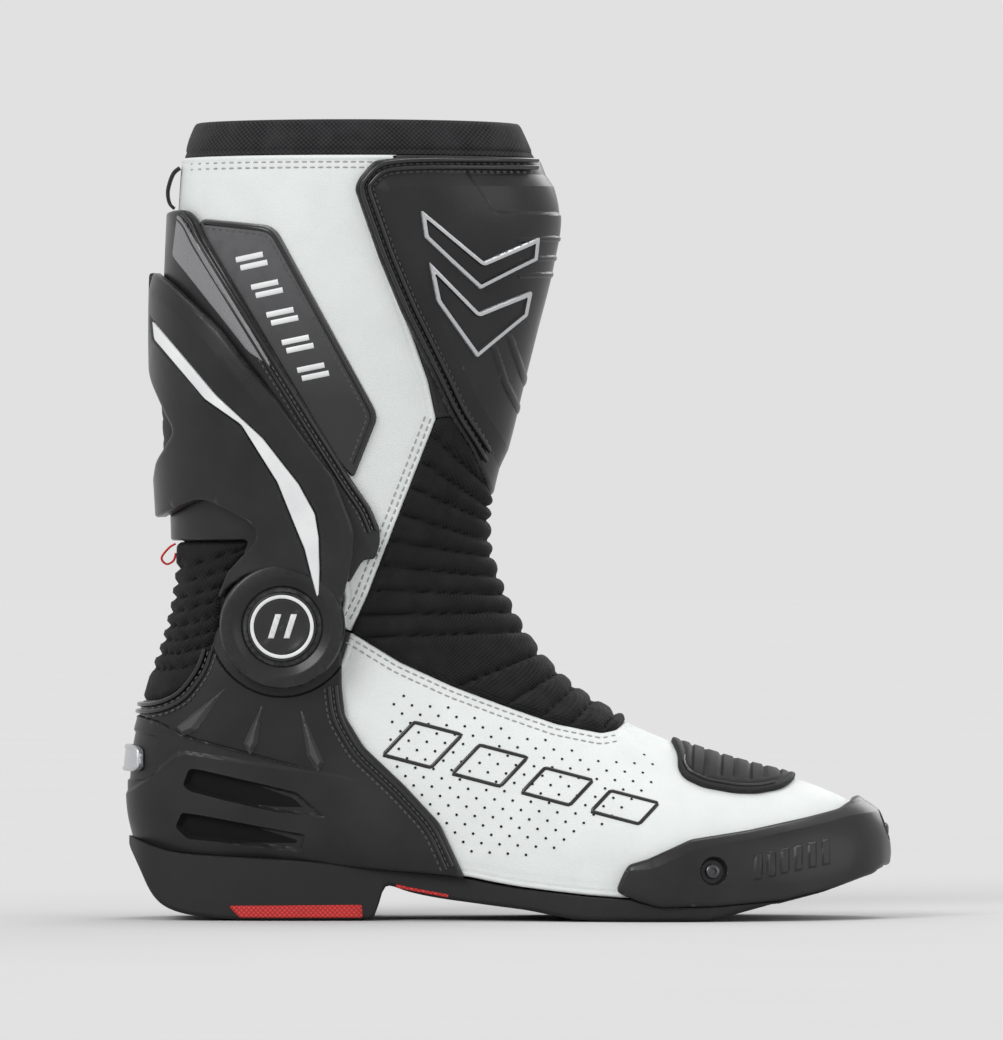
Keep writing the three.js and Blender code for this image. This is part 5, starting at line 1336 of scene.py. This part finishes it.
piping("shin_cord", cords, 0.95, 3.2, GLOSS, body="shaft", nodes=("shin_piping",), slot="gloss_black")
shin_rows = [(rounded(offset(SHIN_CORD, by), 4, False), -1, lift) for by, lift in ((1.4, 2.3), (4.4, 2.0))]
stitches("shin_stitches", shin_rows, GREY_THREAD, 2.6, 1.8, body="shaft", slot="black_plastic")

CHEVRONS = [("upper", [(54, 282), (78, 262), (99, 272), (98, 263), (76.5, 251), (55.5, 271)]),
            ("lower", [(57, 262), (76, 242), (96, 251), (94, 241), (75, 224), (60, 246)])]
for word, outline in CHEVRONS:
    chevron = both(within(outline, 0.6), outer_side)
    panel("shin_chevron_" + word, chevron,
          lambda x, y, z, d: 4.7 - edge_round(d, 0.5) - 0.9 * step(d - 1.75, 0.5), 2.6, [SILVER, PLASTIC],
          (0.25, 0.5, 1.5, 2.0), sharp=28, paint=lambda x, y, z: (chevron(x, y, z) < -1.5).astype(int),
          fine=1, body="shaft", nodes=("shin_emblem_" + word,), slot="silver")

PATCH_OUTLINE = [(-31.8, 278.7), (-4.9, 275.6), (-1.4, 273), (36.7, 202.8), (37.6, 199), (28.2, 175.3),
                 (10, 195), (-34, 268)]
patch_field = both(within(PATCH_OUTLINE, 2.0), outer_side)
panel("patch_shell", patch_field, lambda x, y, z, d: 1.4 - edge_round(d, 0.7), 0.2, PATCH, (0.3, 0.7),
      body="shaft", nodes=("side_patch",), slot="gloss_black")
PATCH_CORD = [(-30, 277), (-5.8, 274), (-2.8, 271.6), (35, 202.4), (35.8, 199.2), (28.6, 181)]
patch_line = rounded(PATCH_CORD, 3, False)
piping("patch_cord", [(patch_line, -1)], 0.95, 1.3, GLOSS, 1.8, body="shaft", slot="gloss_black")
stitches("patch_stitches", [(offset(patch_line, -2.2), -1, 1.4)], GREY_THREAD, 2.6, 1.8, body="shaft",
         slot="gloss_black")
STRIPE_START, STRIPE_STEP, STRIPE_RUN = np.array([-17.5, 262.0]), np.array([6.2, -11.4]), [10.5, 2.2]
stripe_lines = []
for k in range(5):
    for shift in (0.0, 3.2):
        start = STRIPE_START + STRIPE_STEP * k * 0.96 + [shift * 0.56, -shift]
        stripe_lines.append(([start, start + STRIPE_RUN], -1))
piping("patch_stripes", stripe_lines, 1.15, 1.35, CHALK, 2.0, flat=0.35, body="shaft", slot="white_plastic")

CALF = [(-80, 281), (-43.9, 281.3), (-38.7, 282.4), (-35.2, 281.7), (-32.6, 279.1), (-29, 270.8),
        (12.9, 198.8), (27.4, 174.8), (34.6, 164.1), (38.1, 155.5), (38.1, 149.8), (36, 143.4),
        (31.3, 143.4), (25.8, 133.6), *arc(31, 40, 118, 8), (-12, 151), (-80, 150)]
CALF_INNER = [(-80, 281), (-43.9, 281.3), (-36, 278), (-31, 268), (-16, 228), (-5, 196), (-3, 172),
              (-6, 151.5), (-80, 150)]
CALF_CREST = [(-41, 281), (-36, 268), (-12, 226), (8, 193), (24, 168), (34, 146), (46, 112)]
CALF_PAINTED_HIGHLIGHT = [(-38, 281), (-30, 268), (-8, 230), (-2, 219), (-12, 226), (-40, 264)]


def calf_height(x, y, z, d):
    h = 4.8 - edge_round(d, 1.3)
    crest = side_of(x, z, CALF_CREST)
    return h - 1.1 * np.clip(crest / 6.0, 0, 1) * (y < 0)


panel("calf_shell", sides(CALF, CALF_INNER, 2.0), calf_height, 1.8, SATIN, (0.4, 0.8, 1.3),
      [(lambda x, y, z: np.where(y < 0, side_of(x, z, CALF_CREST), -9.0), 0.0)], sharp=20, body="shaft",
      nodes=("calf_plate",), slot="black_plastic")
# a lighter grey piece laid on the calf plate as a painted highlight, where its gloss catches the light below
# the crest
panel("calf_highlight", both(within(CALF_PAINTED_HIGHLIGHT, 1.0), outer_side),
      lambda x, y, z, d: 4.9 - edge_round(d, 0.4), 3.2, PAINTED_HIGHLIGHT_GREY, (0.2, 0.4), body="shaft", slot="silver")

CALF_CORD = [(-36.4, 280.2), (-33.6, 277.4), (-30.2, 269.6), (11.6, 198), (26, 174), (33, 163.6),
             (36.2, 155.2)]
calf_cords = [(rounded(offset(CALF_CORD, by), 3, False), -1) for by in (0.2, -2.6)]
piping("calf_cord", calf_cords, 0.85, 4.3, GLOSS, 1.8, body="shaft", slot="gloss_black")
calf_rows = [(rounded(offset(CALF_CORD, by), 3, False), -1, 4.4) for by in (-1.2, -4.2)]
stitches("calf_stitches", calf_rows, GREY_THREAD, 2.6, 1.8, body="shaft", slot="gloss_black")

GUARD = [(-80, 226), (-45.6, 225), (-41, 214), (-37, 201), (-35, 195), (-36, 189), (-42, 174), (-80, 174)]
GUARD_GROOVES = [[(-80, z), (-20, z + 3)] for z in (182, 190, 198, 206, 214, 222)]
guard_cuts = cuts_at([away_from(line) for line in GUARD_GROOVES], 0.5, 1.4)
panel("calf_guard_pad", within(GUARD, 1.5), ribs(GUARD_GROOVES, 5.2, 6.1, 3.0), 4.9, RUBBER, (0.5, 1.0),
      guard_cuts, body="shaft", nodes=("calf_guard",), slot="black_rubber")

# ------------------------------------------------------------------ tabs at the back
def ribbon(name, line, y0, y1, wall, material, **place):
    """A strap bent in the side view: a flat band with rounded edges."""
    P = np.array(spline(line, 5), float)
    P = np.stack([P[:, 0], np.full(len(P), (y0 + y1) / 2), P[:, 1]], 1)
    N = np.gradient(P, axis=0)
    N = unit(np.stack([-N[:, 2], 0 * N[:, 0], N[:, 0]], 1))
    w, t = (y1 - y0) / 2, wall / 2
    profile = [(w, -t * 0.4), (w, t * 0.4), (w - t, t), (0, t * 0.86), (-w + t, t), (-w, t * 0.4),
               (-w, -t * 0.4), (-w + t, -t), (0, -t * 0.86), (w - t, -t)]
    return settle(make_mesh(name, *sweep(P, N, profile), material, 50), **place)


ribbon("pull_loop_strap", [(-41.6, 299.6), (-44.4, 297), (-46.4, 290.6), (-45.8, 285.6), (-43.9, 283.4)],
       -7, 7, 1.3, BLACK, body="shaft", nodes=("rear_pull_loop",), slot="black_leather")
ribbon("red_tab_ribbon", [(-43.1, 149.3), (-45.7, 147.7), (-48.7, 143.7), (-46.7, 141.2), (-43.9, 142.6),
                          (-43, 145.6)],
       -13, -8, 0.8, RIBBON, body="shaft", nodes=("red_tab",), slot="red_ribbon")

# ------------------------------------------------------------------ zip and cuff flap on the inner side
TAPE_LINE, TAPE_HALF = [(17.3, 154), (36.7, 270)], 11


def on_tape(x, y, z):
    return distance(x, z, TAPE_LINE) - TAPE_HALF


panel("zip_tape_cloth", both(on_tape, inner_side), -2.1, -2.9, TAPE, (0.5, 1.0),
      body="shaft", nodes=("zip_tape",), slot="stretch_fabric")
TOOTH_SIZE = np.array([(1.75, 0.48, 0.75)])
TOOTH_FACES = [(0, 1, 3, 2), (4, 6, 7, 5), (0, 4, 5, 1), (2, 3, 7, 6), (0, 2, 6, 4), (1, 5, 7, 3)]


def zip_teeth():
    """Interlocking moulded teeth, laid along the zip."""
    P, N = lay(ZIP_LINE, 1, -1.05, 1.25)
    corners = np.array([(sx, sy, sz) for sx in (-1, 1) for sy in (-1, 1) for sz in (-1, 1)], float)
    corners[:, 1] *= np.where(corners[:, 2] > 0, 0.7, 1.0)
    corners[:, 0] *= np.where(corners[:, 2] > 0, 0.85, 1.0)
    c = corners * TOOTH_SIZE
    parts = []
    for k in range(1, len(P) - 1):
        t = P[k + 1] - P[k - 1]
        t /= np.linalg.norm(t)
        a = np.cross(N[k], t)
        side = 1 if k % 2 else -1
        verts = P[k] + side * a * 0.7 + c[:, :1] * a + c[:, 1:2] * t + c[:, 2:] * N[k]
        parts.append((verts, TOOTH_FACES))
    return merge(parts)


settle(make_mesh("zip_teeth", *zip_teeth(), GLOSS, 30), body="shaft", nodes=("zip_chain",),
       slot="gloss_black")

FLAP = [(55, 271), (55, 300), (-8, 300), (-13, 297), (-15, 291), (-15, 280), (-13, 274), (-8, 271)]
flap_field = both(within(FLAP, 2.5), inner_side)
panel("flap_leather", flap_field, leather_height((2.0,), 0.8, 2.6), 0.6, WHITE, EDGE_LEVELS,
      body="cuff_flap", nodes=("cuff_flap",), slot="white_leather")
flap_seam = rounded([(50, 273), (-7.4, 273), (-11.2, 275.6), (-12.8, 281), (-12.8, 290.4), (-11.2, 295.6),
                     (-7.4, 298), (50, 298)], 3, False)
stitches("flap_stitches", [(flap_seam, 1, 2.5)], WHITE_THREAD, body="cuff_flap", slot="white_leather")
ZIP_BEVEL = 0.00035     # metres


def repaint(name, material):
    """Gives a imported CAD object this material, and hands the object back."""
    obj = bpy.data.objects[name]
    if not obj.material_slots:
        obj.data.materials.append(material)
    for s in obj.material_slots:
        s.material = material
    return obj


for name in ("zip_slider", "zip_pull"):
    bevel = repaint(name, STEEL).modifiers.new("soft_edges", "BEVEL")
    bevel.width, bevel.segments, bevel.limit_method = ZIP_BEVEL, 3, "ANGLE"

# ------------------------------------------------------------------ the brace
BRACE = [(-80, 261), (-51, 262), (-46.9, 260.6), (-37.2, 252), (-20.8, 234.8), (-11, 221), (-0.4, 207.2),
         (9.4, 192.4), (20, 176.9), (26.6, 158.2), (27.4, 154.1), (26.7, 144.8), (23.1, 129.1), (20, 116.5),
         (0, 112), (-22, 124), (-17.6, 137.6), (-11.2, 146.2), (-7.6, 151.2), (-7.2, 154.8), (-9, 157.6),
         (-14.8, 162), (-23.3, 167), (-26.9, 168), (-32.6, 165.5), (-48.3, 155.5), (-80, 154), (-80, 176),
         (-42.4, 175), (-41.2, 182.6), (-36.3, 192.4), (-35.5, 195.7), (-37.9, 200.6), (-42.8, 213.6),
         (-44.9, 221.8), (-45.5, 229), (-80, 231)]
BRACE_INNER = [*BRACE[:4], (-24, 234), (-13, 210), (-5, 186), (0, 165), (6, 148), (13, 136), (20, 124),
               (20, 116.5), (0, 112), (-22, 124), (-17, 138), (-14, 150), (-16, 166), (-22, 186),
               (-31, 206), (-42, 224), (-48, 230.6), (-80, 231)]
BRACE_EDGE = BRACE[2:13]
WING = [(-80, 154), (-80, 176), (-42.4, 175), (-36, 168), (-48.3, 155.5)]
INLAY = [(-42.8, 239.8), (-20.4, 209.2), (-4.4, 192.4), (7.8, 174.5), (13.5, 162.2), (14.7, 152.4),
         (14.9, 140.5), (14.2, 128.6), (12.6, 128.6), (11, 136.2), (8.8, 147.6), (-0.4, 174.8),
         (-12.6, 197.3), (-24.9, 207.2), (-42, 230.8)]
EYE_IN, EYE_OUT, CAP_R = 42.65, 47.65, 14.0
EDGE_BAND = 5.5     # the width of the bevelled band along the brace's front edge
brace_body = sides(BRACE, BRACE_INNER, 2.0)
wing_body = within(WING, 1.5)
inlay_field = both(within(INLAY, 1.0), outer_side)


def brace_field(x, y, z):
    wing = np.maximum(wing_body(x, y, z), y - 14)
    arms = np.minimum(brace_body(x, y, z), wing)
    return np.maximum(arms, off_hub(22.5)(x, y, z))


def brace_height(x, y, z, d):
    h = 10.8 - edge_round(d, 1.2)
    bevel = np.clip(1 - distance(x, z, BRACE_EDGE) / EDGE_BAND, 0, 1) * (y < 0)
    h = h - 1.5 * bevel
    return h - 0.9 * step(-inlay_field(x, y, z), 0.5)


def off_front_edge(x, y, z):
    return np.where(y < 0, distance(x, z, BRACE_EDGE), 20.0)


def inlay_shape(x, y, z):
    return inlay_field(x, y, z) + 0.5


brace_cuts = cuts_at([off_front_edge], EDGE_BAND) + cuts_at([inlay_field], -0.3, 0.3)
panel("brace_arms", brace_field, brace_height, 6.4, SATIN, (0.3, 0.7, 1.2), brace_cuts, sharp=16,
      body="brace", nodes=("brace",), slot="black_plastic")
panel("inlay_shell", inlay_shape, lambda x, y, z, d: 10.9 - edge_round(d, 0.5), 9.7, CHALK, (0.2, 0.5),
      sharp=24, fine=1, body="brace", nodes=("brace_inlay",), slot="white_plastic")

# profiles to turn: radius, and distance out from the middle plane
eye_profile = [(15.6, EYE_IN + 0.1), (EYE_R - 0.3, EYE_IN + 0.1), (EYE_R, EYE_IN + 0.6),
               (EYE_R, EYE_OUT - 1.2), (EYE_R - 0.5, EYE_OUT - 0.35), (EYE_R - 1.3, EYE_OUT),
               (20.2, EYE_OUT + 0.1), (19.2, EYE_OUT - 0.1), (18.2, EYE_OUT - 0.8),
               (16.6, EYE_OUT - 1.2), (15.9, EYE_OUT - 1.6), (15.6, EYE_OUT - 2.2)]
web_profile = [(6.9, EYE_IN + 0.1), (15.9, EYE_IN + 0.1), (15.9, EYE_IN + 2.4), (6.9, EYE_IN + 2.4)]
cap_profile = [(0.05, 45.4), (CAP_R - 0.4, 45.4), (CAP_R, 45.8), (CAP_R, 47.3), (CAP_R - 0.5, 47.95),
               (12.9, 48.1), (12.7, 47.8), (11.1, 47.8), (10.9, 48.1), (10.2, 48.15), (9.4, 47.7),
               (0.05, 47.5)]
ring_profile = [(11.2, 47.5), (12.6, 47.5), (12.6, 48.1), (12.3, 48.28), (11.5, 48.28), (11.2, 48.1)]
socket_profile = [(4.0, 37.4), (24.6, 37.4), (25.0, 38.0), (25.0, 41.8), (24.5, 42.35), (4.0, 42.35)]


def turned(name, profile, side, material, **place):
    verts, faces = lathe(profile, 96)
    if side > 0:
        verts[:, 1] *= -1
        faces = [face[::-1] for face in faces]
    return settle(make_mesh(name, verts, faces, material, 34), **place)


for side, word in SIDES:
    turned("brace_eye_" + word, eye_profile, side, SATIN, body="brace", slot="black_plastic")
    turned("brace_web_" + word, web_profile, side, SATIN, body="brace", slot="black_plastic")
    turned("hinge_cap_shell_" + word, cap_profile, side, GLOSS, body="foot", nodes=("hinge_cap_" + word,),
           slot="gloss_black")
    turned("hinge_cap_ring_" + word, ring_profile, side, CHALK, body="foot", slot="white_plastic")
    turned("hinge_seat_" + word, socket_profile, side, PLASTIC, body="foot", nodes=("hinge_socket_" + word,),
           slot="black_plastic")


def cap_mark(name, side, material, **place):
    """A generic mark: two slanted bars, raised on the cap."""
    parts = []
    for x0 in (-5.6, 0.6):
        outline = [(x0, -4.6), (x0 + 2.4, -4.6), (x0 + 5.4, 5.0), (x0 + 3.0, 5.0)]
        inset = [(x0 + 0.5, -4.2), (x0 + 2.2, -4.2), (x0 + 4.9, 4.6), (x0 + 3.2, 4.6)]
        rows = [(outline, 47.5), (outline, 48.0), (inset, 48.25)]
        verts = [(PIVOT[0] - side * x, side * out, PIVOT[1] + z) for shape, out in rows for x, z in shape]
        parts.append((verts, tube_faces(len(rows), 4) + [(8, 9, 10, 11), (3, 2, 1, 0)]))
    return settle(make_mesh(name, *merge(parts), material, 25), **place)


cap_mark("cap_mark_lateral", -1, CHALK, body="foot", nodes=("hinge_cap_emblem",), slot="white_plastic")
cap_mark("cap_mark_medial", 1, CHALK, body="foot", slot="white_plastic")

# ------------------------------------------------------------------ inside
BED_LEVEL, BED_INSET = 5, 7.0


def plan_distance(x, y):
    """How far inside the lining a point of the footbed lies, as a signed field."""
    out = np.empty(len(x))
    for k in range(len(x)):
        point = Vector((x[k], y[k], float(np.interp(x[k], SOLE_X, SOLE_Z)) + BED_LEVEL))
        co, n, _, dist = BVH.find_nearest(point)
        out[k] = dist * np.sign((point - co).dot(n)) + BED_INSET
    return out


def bed_top(x, y, d):
    return np.interp(x, SOLE_X, SOLE_Z) + 7.4 + 1.6 * np.exp(-d / 3.0) - edge_round(d, 1.0)


def bed_low(x, y, d):
    return np.interp(x, SOLE_X, SOLE_Z) + 3.2


slab("footbed_pad", plan_distance, bed_top, bed_low, FOAM, (1.0,),
     body="foot", nodes=("footbed",), slot="foam")
for name, material in (("shank", STEEL), ("insole_board", FIBRE), ("toe_puff", PLASTIC),
                       ("heel_stiffener", PLASTIC), ("hinge_bolt_lateral", STEEL),
                       ("hinge_bolt_medial", STEEL), ("hinge_bush_lateral", STEEL),
                       ("hinge_bush_medial", STEEL)):
    repaint(name, material)

# ------------------------------------------------------------------ stage, lights and camera, in metres
FLOOR_SIZE, FLOOR_CENTRE, WORLD_LIGHT = 40, (0.08, 0, -0.0004), 0.75


def floor_material():
    s = Shader("studio_floor")
    color = s.mix(s.spread(s.noise(160, 3), 0.3, 0.7), (0.545, 0.545, 0.545), (0.555, 0.555, 0.555))
    return s.finish(color, s.spread(s.noise(60), 0.3, 0.7, 0.85, 0.95), Specular_IOR_Level=0.0)


bpy.ops.mesh.primitive_plane_add(size=FLOOR_SIZE, location=FLOOR_CENTRE)
floor = bpy.context.object
floor.name = "studio_floor"
floor.data.materials.append(floor_material())

world = bpy.data.worlds.new("studio")
bpy.context.scene.world = world
world.use_nodes = True
background = world.node_tree.nodes["Background"]
background.inputs["Color"].default_value = (1, 1, 1, 1)
background.inputs["Strength"].default_value = WORLD_LIGHT
bpy.context.scene.view_settings.view_transform = "Standard"


def soft_sun(name, direction, strength, degrees):
    """A wide, soft light from far away; direction points from the boot to the light."""
    light = bpy.data.lights.new(name, "SUN")
    light.energy, light.angle = strength, np.radians(degrees)
    obj = bpy.data.objects.new(name, light)
    bpy.context.scene.collection.objects.link(obj)
    obj.rotation_euler = Vector(direction).to_track_quat("Z", "Y").to_euler()


soft_sun("key_light", (-0.55, -0.75, 0.62), 1.5, 28)
soft_sun("fill_light", (1.0, -0.55, 0.3), 0.45, 40)
soft_sun("top_light", (0.15, 0.1, 1.0), 0.8, 30)
soft_sun("back_light", (0.5, 1.0, 0.5), 0.6, 30)

VIEW_CENTRE, VIEW_HEIGHT, VIEW_DISTANCE, SENSOR = (0.087, 0.1588), 0.416, 5.0, 36
camera = bpy.data.objects.new("camera", bpy.data.cameras.new("camera"))
bpy.context.scene.collection.objects.link(camera)
camera.location = (VIEW_CENTRE[0], -VIEW_DISTANCE, VIEW_CENTRE[1])
camera.rotation_euler = (math.pi / 2, 0, 0)
camera.data.sensor_fit = "VERTICAL"
camera.data.sensor_height = SENSOR
camera.data.lens = SENSOR * VIEW_DISTANCE / VIEW_HEIGHT
camera.data.clip_end = 30
bpy.context.scene.camera = camera

# ------------------------------------------------------------------ a last update of the scene
bpy.context.view_layer.update()
